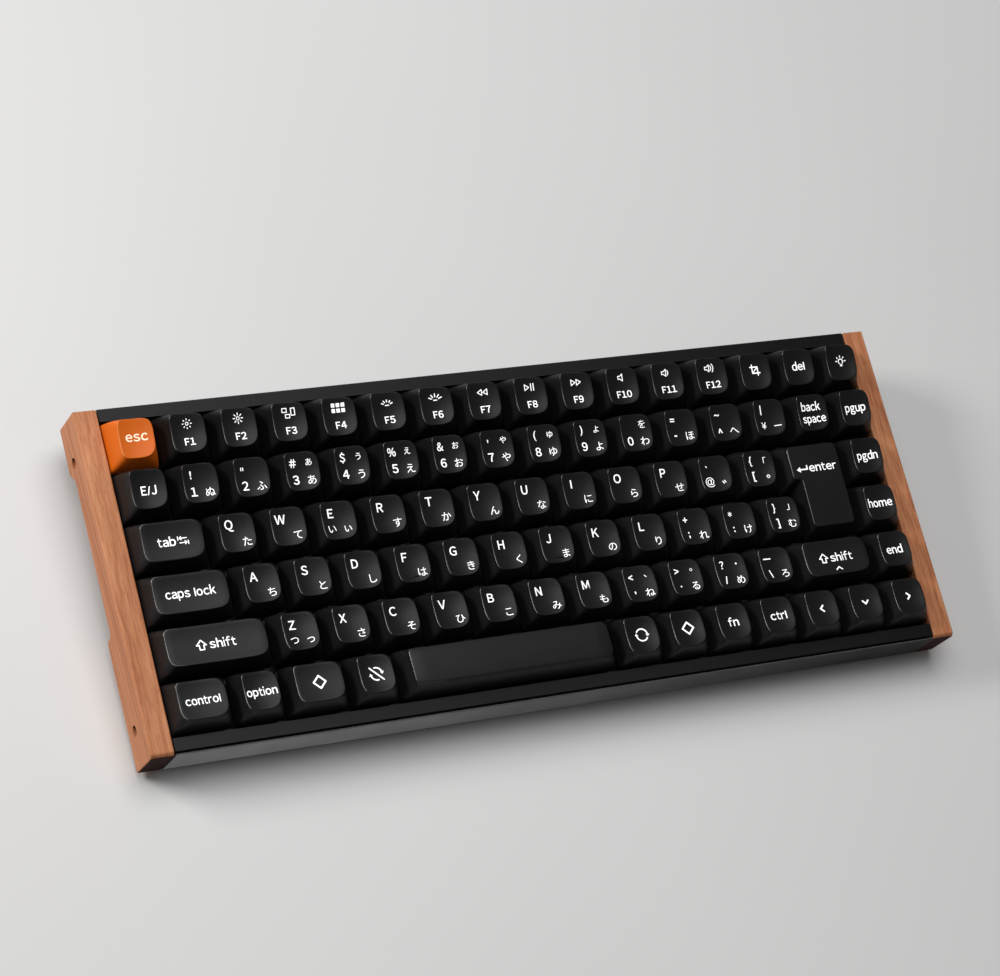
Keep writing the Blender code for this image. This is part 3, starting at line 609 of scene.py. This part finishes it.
def add_cap_rings(mesh, cap, under, outer, over, close_last, edge_span):
    """A cap's walls: its hollow, its outside and its top, with the rim's glossier left edge, which on the
    orange cap is also a painted highlight.
    """
    rings = [[(cap.x + x, cap.y + y, z) for x, y, z in ring] for ring in under + outer + over]
    first = len(under) + SIDE_STEPS
    return add_rings(mesh, rings, close_last, edge=range(first, first + RIM_STEPS), edge_span=edge_span)


def add_stem(mesh, x, y, top):
    """The switch's stem under the cap: a round post, in the second look."""
    turns = [math.tau * i / STEM_SIDES for i in range(STEM_SIDES)]
    outline = [(x + STEM_RADIUS * math.cos(t), y + STEM_RADIUS * math.sin(t)) for t in turns]
    add_rings(mesh, [level(outline, STEM_BOTTOM), level(outline, top)], look=1)


def make_cap(cap, body):
    """A dished cap; its hollow is nearly square and high enough to clear the switch when the key is down."""
    mesh = bmesh.new()
    lowest = min(cap.surface(0.0, 0.0), cap.surface(0.0, -cap.top_y))
    ceiling = max(LOWEST_CEILING, lowest - TOP_WALL)
    under = [
        level(cap.ring(1.0, HOLLOW_INSET, HOLLOW_CUT), ceiling),
        level(cap.ring(0.0, SKIRT_WALL, HOLLOW_CUT), SKIRT_Z),
        level(cap.ring(0.0, SKIRT_EASE), SKIRT_Z),
    ]
    outer = outer_rings(cap.ring, cap.surface, SKIRT_EASE)
    inner = cap.ring(1.0, RIM_RADIUS)
    over = []
    for step in range(1, DISH_STEPS):
        scale = 1.0 - step / DISH_STEPS
        outline = [(x * scale, cap.shift + (y - cap.shift) * scale) for x, y in inner]
        over.append(draped(outline, cap.surface))
    made = add_cap_rings(mesh, cap, under, outer, over, False, LEFT_SPAN)
    add_fan(mesh, made[-1], (cap.x, cap.y + cap.shift, cap.surface(0.0, cap.shift)))
    add_stem(mesh, cap.x, cap.y, ceiling + STEM_OVERLAP)
    look = "orange" if cap.name == "esc" else "charcoal"
    looks = (look, "stem", look + "_edge")
    return add_piece("cap_" + cap.name, mesh, looks, body, CAP_SMOOTH_ANGLE)


def rounded(corners, radii):
    """A polygon with its corners rounded; each gives CORNER_POINTS points, so that outlines line up."""
    points = []
    for i, (corner, radius) in enumerate(zip(corners, radii)):
        here = Vector(corner)
        before = (Vector(corners[i - 1]) - here).normalized()
        after = (Vector(corners[(i + 1) % len(corners)]) - here).normalized()
        hub = here + (before + after) * radius
        for step in range(CORNER_POINTS):
            turn = math.pi / 2 * step / (CORNER_POINTS - 1)
            points.append(tuple(hub - after * radius * math.cos(turn) - before * radius * math.sin(turn)))
    return points


def enter_outline(cap, part, inset=0.0):
    """The enter key's outline at part of the way up: the full width behind, the notched width in front."""
    bow = part**SIDE_POWER
    side = cap.foot_x
    foot = (-side, PITCH / 4 - side, side, -PITCH - cap.foot_y, -cap.foot_y, cap.foot_y)
    top = [line + move for line, move in zip(foot, ENTER_MOVES)]
    left, notch, right, front, step, back = (a + (b - a) * bow for a, b in zip(foot, top))
    left, notch, right = left + inset, notch + inset, right - inset
    front, step, back = front + inset, step + inset, back - inset
    radius = ENTER_FOOT_RADIUS + (ENTER_TOP_RADIUS - ENTER_FOOT_RADIUS) * part - inset
    radius = max(ENTER_LEAST_RADIUS, radius)
    corners = ((right, front), (right, back), (left, back), (left, step), (notch, step), (notch, front))
    # The two corners of the step are tighter than the others.
    return rounded(corners, (radius, radius, radius, radius * 0.7, radius * 0.6 + inset, radius))


def enter_surface(cap):
    """The flat top of the enter key, with the height and lean of the home row."""
    height, lean, _ = ROW_SHAPES[cap.row + 1]
    return lambda x, y: height + (y + PITCH / 2) * math.tan(lean)


def make_enter_cap(cap, body):
    """The tall stepped cap."""
    mesh = bmesh.new()
    surface = enter_surface(cap)
    outline_at = functools.partial(enter_outline, cap)
    under = [
        draped(outline_at(1.0, ENTER_HOLLOW_INSET), surface, TOP_WALL),
        level(outline_at(0.0, SKIRT_WALL), SKIRT_Z),
    ]
    outer = outer_rings(outline_at, surface)
    over = [draped(outline_at(1.0, 2 * RIM_RADIUS), surface)]
    add_cap_rings(mesh, cap, under, outer, over, True, ENTER_LEFT_SPAN)
    stem_top = surface(0.0, -PITCH / 2) - TOP_WALL + STEM_OVERLAP
    add_stem(mesh, cap.x + PITCH / 8, cap.y - PITCH / 2, stem_top)
    looks = ("charcoal", "stem", "charcoal_edge")
    return add_piece("cap_enter", mesh, looks, body, CAP_SMOOTH_ANGLE)


def make_homing_bar(cap, body):
    """The raised bar near the front of a home key, round and narrowing to its ends."""
    mesh = bmesh.new()
    half, radius, forward = 1.5 * MM, 0.32 * MM, 4.7 * MM
    # Beyond the straight share of its length the bar narrows like an ellipse, down to a fifth of its width.
    straight, end_squared = 0.8, 0.04
    y = cap.shift - forward
    steps = 12
    turns = [math.tau * i / steps for i in range(steps)]
    rings = []
    for i in range(steps + 1):
        along = math.cos(math.pi * (1 - i / steps))
        beyond = max(0.0, abs(along) - straight)
        width = radius * math.sqrt(max(end_squared, 1 - beyond**2 / end_squared))
        x = (half + radius) * along
        rings.append([
            (cap.x + x, cap.y + y + width * math.cos(t), cap.surface(x, y) + width * math.sin(t))
            for t in turns
        ])
    add_rings(mesh, rings)
    add_piece("homing_bar_" + cap.name, mesh, ("charcoal",), body)


# ---- legends ----

# How far legends stand above a cap's top and how far they reach down into it
PROUD = 0.02 * MM
SUNK = 0.15 * MM
# Each stroke of an icon stands this much prouder than the last, in mm, so that no two faces coincide.
LAYER_STEP = 0.002
# Letters, digits and some marks are drawn in their full-width forms, this far on in the character set. The
# bars keep their plain form, and a few letters are drawn narrower.
FULL_WIDTH = 0xFEE0
FULL_MARKS = "?&%#$"
PLAIN_BARS = "Il|"
NARROW = {"t": 0.68, "f": 0.72, "r": 0.8, "i": 0.7}
# How much the strokes of ASCII characters are thickened, in ems
WEIGHT = 0.015
# In ems: the space between letters, the space between words and half the height of a capital
LETTER_GAP = 0.08
WORD_SPACE = 0.34
HALF_CAPITAL = 0.36
LEGEND_SMOOTH_ANGLE = 30.0


@functools.cache
def glyph(char):
    """One character as a solid of height 1 about z = 0, in ems: (points, faces, left, right)."""
    full = char.isascii() and (char.isalnum() or char in FULL_MARKS) and char not in PLAIN_BARS
    curve = bpy.data.curves.new("glyph", "FONT")
    curve.body = chr(ord(char) + FULL_WIDTH) if full else char
    curve.resolution_u = 3
    curve.offset = WEIGHT if char.isascii() and char != "@" else 0.0
    curve.extrude = 0.5
    holder = bpy.data.objects.new("glyph", curve)
    bpy.context.scene.collection.objects.link(holder)
    bpy.context.view_layer.update()
    graph = bpy.context.evaluated_depsgraph_get()
    data = bpy.data.meshes.new_from_object(holder.evaluated_get(graph))
    squeeze = NARROW.get(char, 1.0)
    points = [(vert.co.x * squeeze, vert.co.y, vert.co.z) for vert in data.vertices]
    faces = [tuple(face.vertices) for face in data.polygons]
    bpy.data.objects.remove(holder)
    bpy.data.curves.remove(curve)
    bpy.data.meshes.remove(data)
    xs = [p[0] for p in points]
    return points, faces, min(xs), max(xs)


class Legend:
    """The mesh of one key's legend, wrapped on the surface of its top."""

    def __init__(self, cap, surface):
        self.mesh = bmesh.new()
        self.cap = cap
        self.surface = surface
        self.layer = 0
        self.origin = (0.0, 0.0)

    def point(self, x, y, up):
        """A vertex just over the cap's top, or sunk in it."""
        z = self.surface(x, y) + (PROUD + self.layer * LAYER_STEP * MM if up else -SUNK)
        return self.mesh.verts.new((self.cap.x + x, self.cap.y + y, z))

    def write(self, text, x, y, em, width=None):
        """Text in mm about (x, y), the middle of its width and of a capital; width squeezes it to fit.

        A lone character is centred on its own height.
        """
        x, y, em = x * MM, y * MM, em * MM
        placed = []
        pen = 0.0
        for char in text:
            if char == " ":
                pen += WORD_SPACE
                continue
            _, _, left, right = glyph(char)
            placed.append((char, pen - left))
            pen += right - left + LETTER_GAP
        middle = (pen - LETTER_GAP) / 2
        squeeze = width * MM / (2 * middle * em) if width else 1.0
        heights = [p[1] for char, _ in placed for p in glyph(char)[0]]
        rise = (min(heights) + max(heights)) / 2 if len(text) == 1 else HALF_CAPITAL
        for char, start in placed:
            points, faces, _, _ = glyph(char)
            made = [
                self.point(x + (start + px - middle) * em * squeeze, y + (py - rise) * em, pz > 0)
                for px, py, pz in points
            ]
            for face in faces:
                self.mesh.faces.new([made[i] for i in face])

    def plate(self, outline):
        """A flat outline in mm about the origin, run down into the cap."""
        outline = [((self.origin[0] + x) * MM, (self.origin[1] + y) * MM) for x, y in outline]
        upper = [self.point(x, y, True) for x, y in outline]
        lower = [self.point(x, y, False) for x, y in outline]
        self.mesh.faces.new(upper)
        self.mesh.faces.new(list(reversed(lower)))
        for i in range(len(outline)):
            j = (i + 1) % len(outline)
            self.mesh.faces.new((upper[i], lower[i], lower[j], upper[j]))
        self.layer += 1

    def line(self, width, *points):
        """Strokes with round ends through points in mm."""
        reach = width / 2
        steps = 6
        for a, b in zip(points, points[1:]):
            heading = math.atan2(b[1] - a[1], b[0] - a[0])
            outline = []
            for end, start in ((b, heading - math.pi / 2), (a, heading + math.pi / 2)):
                for step in range(steps + 1):
                    turn = start + math.pi * step / steps
                    outline.append((end[0] + reach * math.cos(turn), end[1] + reach * math.sin(turn)))
            self.plate(outline)

    def arc(self, width, radius, start, end, x=0.0, y=0.0):
        """Part of a ring, between two angles in degrees, in steps of about 15."""
        steps = max(4, round((end - start) / 15))
        outline = []
        for sign, order in ((1, range(steps + 1)), (-1, range(steps, -1, -1))):
            for step in order:
                turn = math.radians(start + (end - start) * step / steps)
                reach = radius + sign * width / 2
                outline.append((x + reach * math.cos(turn), y + reach * math.sin(turn)))
        self.plate(outline)

    def rays(self, width, inner, outer, angles, y=0.0, flat=1.0):
        """Strokes out from a middle at height y, at angles in degrees; flat squeezes them towards it."""
        for angle in angles:
            dx = math.cos(math.radians(angle))
            dy = math.sin(math.radians(angle)) * flat
            self.line(width, (inner * dx, y + inner * dy), (outer * dx, y + outer * dy))

    def loop(self, width, *points):
        """Strokes with round ends through points in mm and back to the first."""
        self.line(width, *points, points[0])

    def box(self, x0, y0, x1, y1, width=None):
        """A filled box, or its outline where width is given."""
        corners = ((x0, y0), (x1, y0), (x1, y1), (x0, y1))
        if width:
            self.loop(width, *corners)
        else:
            self.plate(corners)


# The icons are drawn in mm about the legend's origin.


def sun(legend, core, inner, outer):
    for start in (0, 180):
        legend.arc(0.24, core, start, start + 180)
    legend.rays(0.32, inner, outer, range(0, 360, 45))


def windows(legend):
    for corners in ((-2.3, 0.3, -0.6, 1.6), (-1.2, -1.7, 0.4, -0.5), (1.0, -0.9, 2.4, 1.5)):
        legend.box(*corners, 0.3)


def tiles(legend):
    side, pitch = 1.35, 1.9
    for column in (-1, 0, 1):
        for row in (-1, 0):
            x, y = column * pitch - side / 2, row * pitch + 0.2
            legend.box(x, y, x + side, y + side)


def backlight(legend, outer):
    y = -1.0
    legend.line(0.36, (-0.65, y), (0.65, y))
    legend.rays(0.38, 1.5, outer, (24, 56, 90, 124, 156), y, 0.8)


def triangle(legend, x, way):
    legend.loop(0.32, (x + way * 0.95, 0.0), (x - way * 0.75, 1.0), (x - way * 0.75, -1.0))


def skip(legend, way):
    for x in (-1.1, 1.1):
        triangle(legend, x, way)


def play(legend):
    triangle(legend, -1.15, 1)
    for x in (0.65, 1.65):
        legend.line(0.36, (x, -1.2), (x, 1.2))


def speaker(legend, waves):
    x = -0.55 * waves
    back, neck, mouth = x - 1.3, x - 0.5, x + 0.5
    legend.loop(
        0.32, (back, -0.5), (neck, -0.5), (mouth, -1.25), (mouth, 1.25), (neck, 0.5), (back, 0.5),
    )
    for wave in range(waves):
        legend.arc(0.32, 1.4 + 0.9 * wave, -42, 42, x)


def capture(legend):
    for way in (-1, 1):
        legend.line(0.46, (1.15 * way, -2.0 * way), (1.15 * way, 1.15 * way), (-2.0 * way, 1.15 * way))
    legend.line(0.38, (-1.0, -1.0), (1.0, 1.0))


def bulb(legend):
    legend.arc(0.36, 0.95, -55, 235, y=-0.2)
    for y in (-1.35, -1.85):
        legend.line(0.32, (-0.4, y), (0.4, y))
    legend.rays(0.36, 1.65, 2.15, (4, 47, 90, 133, 176), y=-0.2)


def cycle(legend, crossed):
    """Two arrows round a ring; a stroke through the middle breaks both."""
    radius = 2.25
    for start in (180, 0):
        legend.arc(0.5, radius, start + (10 if crossed else 4), start + (105 if crossed else 150))
        # The head sits on the arc's first end and points back along it.
        angle = math.radians(start + (8 if crossed else -4))
        out, back = (math.cos(angle), math.sin(angle)), (math.sin(angle), -math.cos(angle))
        legend.plate([
            ((radius + side) * out[0] + ahead * back[0], (radius + side) * out[1] + ahead * back[1])
            for side, ahead in ((-0.7, -0.35), (0.7, -0.35), (0.0, 0.6))
        ])
    if crossed:
        legend.line(0.5, (-2.2, 2.3), (2.3, -2.3))


def diamond(legend):
    legend.loop(0.6, (-2.25, 0.0), (0.0, -2.25), (2.25, 0.0), (0.0, 2.25))


def chevron(legend, turn, reach=1.2, half=1.15, width=0.62):
    """An open arrowhead pointing at turn degrees."""
    ahead = (math.cos(math.radians(turn)), math.sin(math.radians(turn)))
    legend.line(width, *(
        (ahead[0] * along - ahead[1] * side, ahead[1] * along + ahead[0] * side)
        for along, side in ((-reach / 2, half), (reach / 2, 0.0), (-reach / 2, -half))
    ))


def tab_arrows(legend):
    for y, way in ((0.8, -1), (-0.8, 1)):
        legend.line(0.34, (-1.3, y), (1.3, y))
        legend.line(0.34, (way * 0.65, y + 0.55), (way * 1.25, y), (way * 0.65, y - 0.55))
        legend.line(0.34, (way * 1.8, y + 0.6), (way * 1.8, y - 0.6))


def shift_arrow(legend):
    legend.loop(
        0.42, (0.0, 1.8), (1.8, 0.0), (0.8, 0.0), (0.8, -1.6), (-0.8, -1.6), (-0.8, 0.0), (-1.8, 0.0),
    )


def enter_arrow(legend):
    legend.line(0.52, (2.2, 1.0), (2.2, -0.3), (-1.3, -0.3))
    legend.plate([(-2.4, -0.3), (-0.8, -1.4), (-0.8, 0.8)])


def quotes(legend):
    for x in (-0.38, 0.38):
        legend.line(0.36, (x, -0.42), (x, 0.42))


def low_line(legend):
    legend.line(0.46, (-1.5, 0.0), (1.5, 0.0))


# Character keys: what stands at the upper left, lower left, upper right and lower right
CHARACTERS = {
    "1": ("!", "1", "", "ぬ"),
    "2": ("", "2", "", "ふ"),
    "3": ("#", "3", "ぁ", "あ"),
    "4": ("$", "4", "ぅ", "う"),
    "5": ("%", "5", "ぇ", "え"),
    "6": ("&", "6", "ぉ", "お"),
    "7": ("'", "7", "ゃ", "や"),
    "8": ("(", "8", "ゅ", "ゆ"),
    "9": (")", "9", "ょ", "よ"),
    "0": ("", "0", "を", "わ"),
    "minus": ("=", "-", "", "ほ"),
    "caret": ("~", "^", "", "へ"),
    "yen": ("|", "¥", "", "ー"),
    "at": ("`", "@", "", "゛"),
    "bracket_open": ("{", "[", "「", "゜"),
    "semicolon": ("+", ";", "", "れ"),
    "colon": ("*", ":", "", "け"),
    "bracket_close": ("}", "]", "」", "む"),
    "comma": ("<", ",", "、", "ね"),
    "period": (">", ".", "。", "る"),
    "slash": ("?", "/", "・", "め"),
    "backslash": ("", "\\", "", "ろ"),
}
KANA = dict(zip("qwrtyuiopasdfghjklxcvbnm", "たてすかんなにらせちとしはきくまのりさそひこみも"))
CHARACTERS |= {letter: (letter.upper(), "", "", kana) for letter, kana in KANA.items()}
CHARACTERS |= {"e": ("E", "い", "", "ぃ"), "z": ("Z", "つ", "", "っ")}

# Other keys: words as (text, x, y, em, width), in mm from the middle of the foot
WORDS = {
    "esc": (("esc", 0.15, 0.6, 4.4, 8.1),),
    "language": (("E/J", 0.0, -0.4, 4.1, 5.6),),
    "tab": (("tab", -2.3, -0.2, 4.1, None),),
    "caps_lock": (("caps lock", -0.2, 0.3, 4.1, 18.3),),
    "shift_left": (("shift", 2.1, 0.2, 4.1, 9.6),),
    "shift_right": (("shift", 2.1, 0.2, 4.1, 9.5),),
    "control_left": (("control", 0.0, 0.3, 3.9, 12.6),),
    "option": (("option", 0.0, 0.3, 3.9, 11.2),),
    "fn": (("fn", 0.0, 0.4, 4.1, 4.3),),
    "control_right": (("ctrl", 0.1, 0.4, 4.1, None),),
    "enter": (("enter", 2.9, -2.1, 4.1, 11.9),),
    "delete": (("del", 0.0, 0.3, 4.1, 5.5),),
    "backspace": (("back", -0.4, 2.4, 4.1, 8.3), ("space", 0.2, -2.2, 4.1, 10.0)),
    "page_up": (("pgup", 0.0, 0.2, 4.2, 9.0),),
    "page_down": (("pgdn", 0.0, 0.2, 4.2, 9.0),),
    "home": (("home", -0.1, 0.2, 4.2, 10.4),),
    "end": (("end", -0.3, 0.2, 4.2, 7.0),),
}
WORDS |= {f"f{n}": ((f"F{n}", 0.15, -3.2, 3.4, None),) for n in range(1, 13)}

# Icons as (x, y, how it is drawn)
TOP_ICON = (0.0, 3.1)
MIDDLE_ICON = (0.0, 0.6)
ICONS = {
    "f1": ((*TOP_ICON, lambda legend: sun(legend, 0.5, 1.35, 1.65)),),
    "f2": ((*TOP_ICON, lambda legend: sun(legend, 0.55, 1.2, 1.8)),),
    "f3": ((*TOP_ICON, windows),),
    "f4": ((*TOP_ICON, tiles),),
    "f5": ((*TOP_ICON, lambda legend: backlight(legend, 2.3)),),
    "f6": ((*TOP_ICON, lambda legend: backlight(legend, 2.75)),),
    "f7": ((*TOP_ICON, lambda legend: skip(legend, -1)),),
    "f8": ((*TOP_ICON, play),),
    "f9": ((*TOP_ICON, lambda legend: skip(legend, 1)),),
    "f10": ((*TOP_ICON, lambda legend: speaker(legend, 0)),),
    "f11": ((*TOP_ICON, lambda legend: speaker(legend, 1)),),
    "f12": ((*TOP_ICON, lambda legend: speaker(legend, 2)),),
    "2": ((-3.3, 3.1, quotes),),
    "backslash": ((-3.0, 3.1, low_line),),
    "capture": ((*MIDDLE_ICON, capture),),
    "light": ((*MIDDLE_ICON, bulb),),
    "tab": ((3.7, -0.2, tab_arrows),),
    "shift_left": ((-5.6, 0.1, shift_arrow),),
    "shift_right": (
        (-5.5, 0.2, shift_arrow),
        (-0.2, -4.2, lambda legend: chevron(legend, 90, 1.0, 1.2, 0.45)),
    ),
    "enter": ((-6.1, -2.2, enter_arrow),),
    "command_left": ((*MIDDLE_ICON, diamond),),
    "command_right": ((*MIDDLE_ICON, diamond),),
    "convert_off": ((*MIDDLE_ICON, lambda legend: cycle(legend, True)),),
    "convert_on": ((*MIDDLE_ICON, lambda legend: cycle(legend, False)),),
    "arrow_left": ((*MIDDLE_ICON, lambda legend: chevron(legend, 180)),),
    "arrow_right": ((*MIDDLE_ICON, lambda legend: chevron(legend, 0)),),
    "arrow_down": ((*MIDDLE_ICON, lambda legend: chevron(legend, -90)),),
}


# Where characters stand and how large they are: (x, y, em), in mm from the middle of the foot
LETTER = (-2.7, 2.8, 4.2)
UPPER_MARK = (-3.3, 3.1, 3.8)
LOWER_MARK = (-2.95, -2.8, 4.2)
LOWER_KANA = (-2.95, -2.8, 3.6)
UPPER_RIGHT = (2.8, 3.1, 3.4)
LOWER_RIGHT = (3.0, -3.2, 3.8)
SOUND_MARK = (3.0, -3.2, 6.0)


def write_characters(legend, upper_left, lower_left, upper_right, lower_right):
    """The characters of one key, each at its corner."""
    placed = (
        (upper_left, LETTER if upper_left.isalpha() else UPPER_MARK),
        (lower_left, LOWER_MARK if lower_left.isascii() else LOWER_KANA),
        (upper_right, UPPER_RIGHT),
        (lower_right, SOUND_MARK if lower_right in "゛゜" else LOWER_RIGHT),
    )
    for text, place in placed:
        if text:
            legend.write(text, *place)


def make_legend(cap, body, surface):
    """Everything that is printed on one cap, as one piece; a plain cap gets none."""
    legend = Legend(cap, surface)
    if cap.name in CHARACTERS:
        write_characters(legend, *CHARACTERS[cap.name])
    for word in WORDS.get(cap.name, ()):
        legend.write(*word)
    for x, y, draw in ICONS.get(cap.name, ()):
        legend.origin = (x, y)
        draw(legend)
    if not legend.mesh.verts:
        legend.mesh.free()
        return
    look, slot = "legend", "keycap_charcoal"
    if cap.name == "esc":
        look, slot = "legend_cream_painted_glow", "keycap_orange"
    add_piece("legend_" + cap.name, legend.mesh, (look,), body, LEGEND_SMOOTH_ANGLE)


def make_keys():
    """Every key's cap and legend, riding on its own body or on its bank."""
    bodies = {name: bank for bank, names in BANKS.items() for name in names}
    for name, (left, right, row) in placed_keys().items():
        body = bodies.get(name, "key_" + name)
        cap = Cap(name, left, right, row)
        if name == "enter":
            piece = make_enter_cap(cap, body)
            make_legend(cap, body, enter_surface(cap))
        else:
            piece = make_cap(cap, body)
            make_legend(cap, body, cap.surface)
        if name in ("f", "j"):
            make_homing_bar(cap, body)
        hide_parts(body)


# ---- CAD nodes that stay ----

# Looks by the start of the node's name
NODE_LOOKS = {
    "bottom_case": "case", "top_frame": "frame", "wood_side": "wood", "wood_screw": "screw",
    "switch_plate": "plate", "switch_housings": "housing", "circuit_board": "board", "case_foam": "foam",
    "battery": "film", "usb_c_socket": "port", "front_pad": "rubber", "rear_pad": "rubber",
    "connection_slider": "slider", "system_slider": "slider", "flip_foot": "foot",
}


def dress_nodes():
    """The looks of the CAD's own pieces."""
    for name, node in frame["nodes"].items():
        for start, look in NODE_LOOKS.items():
            if name.startswith(start):
                for slot in node.material_slots:
                    slot.material = LOOKS[look]


# ---- stage ----


def make_stage():
    """A wide sheet of pale paper just under the pads."""
    reach = 6.0
    height = -0.2 * MM
    corners = [(x * reach, y * reach, height) for x, y in ((-1, -1), (1, -1), (1, 1), (-1, 1))]
    data = bpy.data.meshes.new("floor")
    data.from_pydata(corners, [], [(0, 1, 2, 3)])
    floor = bpy.data.objects.new("floor", data)
    bpy.context.scene.collection.objects.link(floor)
    look, tree, shader = new_look("floor_paper", (0.72, 0.72, 0.71), 0.85)
    tone = ramp(tree, noise(tree, 3.0, 2.0), (0.3, 0.70), (0.7, 0.73))
    tree.links.new(tone, shader.inputs["Base Color"])
    data.materials.append(look)


def add_area(name, place, aim, size, power, colour=WHITE):
    """An area light at place that faces aim; size is its width and height."""
    light = bpy.data.lights.new(name, "AREA")
    light.shape = "RECTANGLE"
    light.size, light.size_y = size
    light.energy = power
    light.color = colour
    holder = bpy.data.objects.new(name, light)
    holder.location = place
    holder.rotation_euler = (Vector(aim) - Vector(place)).to_track_quat("-Z", "Y").to_euler()
    bpy.context.scene.collection.objects.link(holder)
    return holder


def make_lights():
    """A light from the left and behind, a wide one above, and a weak beam on the case's front wall."""
    middle = (0.0, 0.0, 0.02)
    warm = (1.0, 0.98, 0.96)
    add_area("side_light", (-1.0, 0.45, 0.62), middle, size=(0.45, 0.3), power=8.8, colour=warm)
    add_area("top_light", (-0.15, 0.35, 1.35), middle, size=(1.2, 0.9), power=13.2)
    # The beam comes from beyond the floor's edge and lights only the case.
    front_wall = (-0.15, -0.08, 0.005)
    front = add_area("front_light", (-0.4, -6.6, 0.17), front_wall, size=(0.2, 0.06), power=0.69)
    front.data.spread = math.radians(4.1)
    lit = bpy.data.collections.new("front_lit")
    lit.objects.link(frame["nodes"]["bottom_case"])
    front.light_linking.receiver_collection = lit
    front.visible_glossy = front.visible_camera = False
    world = bpy.data.worlds.new("studio")
    bpy.context.scene.world = world
    world.use_nodes = True
    background = world.node_tree.nodes["Background"]
    background.inputs["Color"].default_value = (*WHITE, 1.0)
    background.inputs["Strength"].default_value = 0.1


def make_camera():
    """A long lens from the front left, looking down, rolled as in the picture."""
    data = bpy.data.cameras.new("camera")
    data.sensor_width = 36.0
    data.lens = 115.1
    place = Vector((-0.5114, -0.3893, 0.9834))
    forward = Vector((0.43530, 0.35065, -0.82919)).normalized()
    up = Vector((0.10820, 0.89398, 0.43485))
    right = forward.cross(up).normalized()
    up = right.cross(forward)
    camera = bpy.data.objects.new("camera", data)
    camera.matrix_world = Matrix((right, up, -forward)).transposed().to_4x4()
    camera.location = place
    data.clip_start = 0.01
    bpy.context.scene.collection.objects.link(camera)
    bpy.context.scene.camera = camera
    # The Standard view shows the colours as they are, with no film curve.
    bpy.context.scene.view_settings.view_transform = "Standard"


make_camera()
make_lights()
make_stage()
dress_nodes()
make_keys()
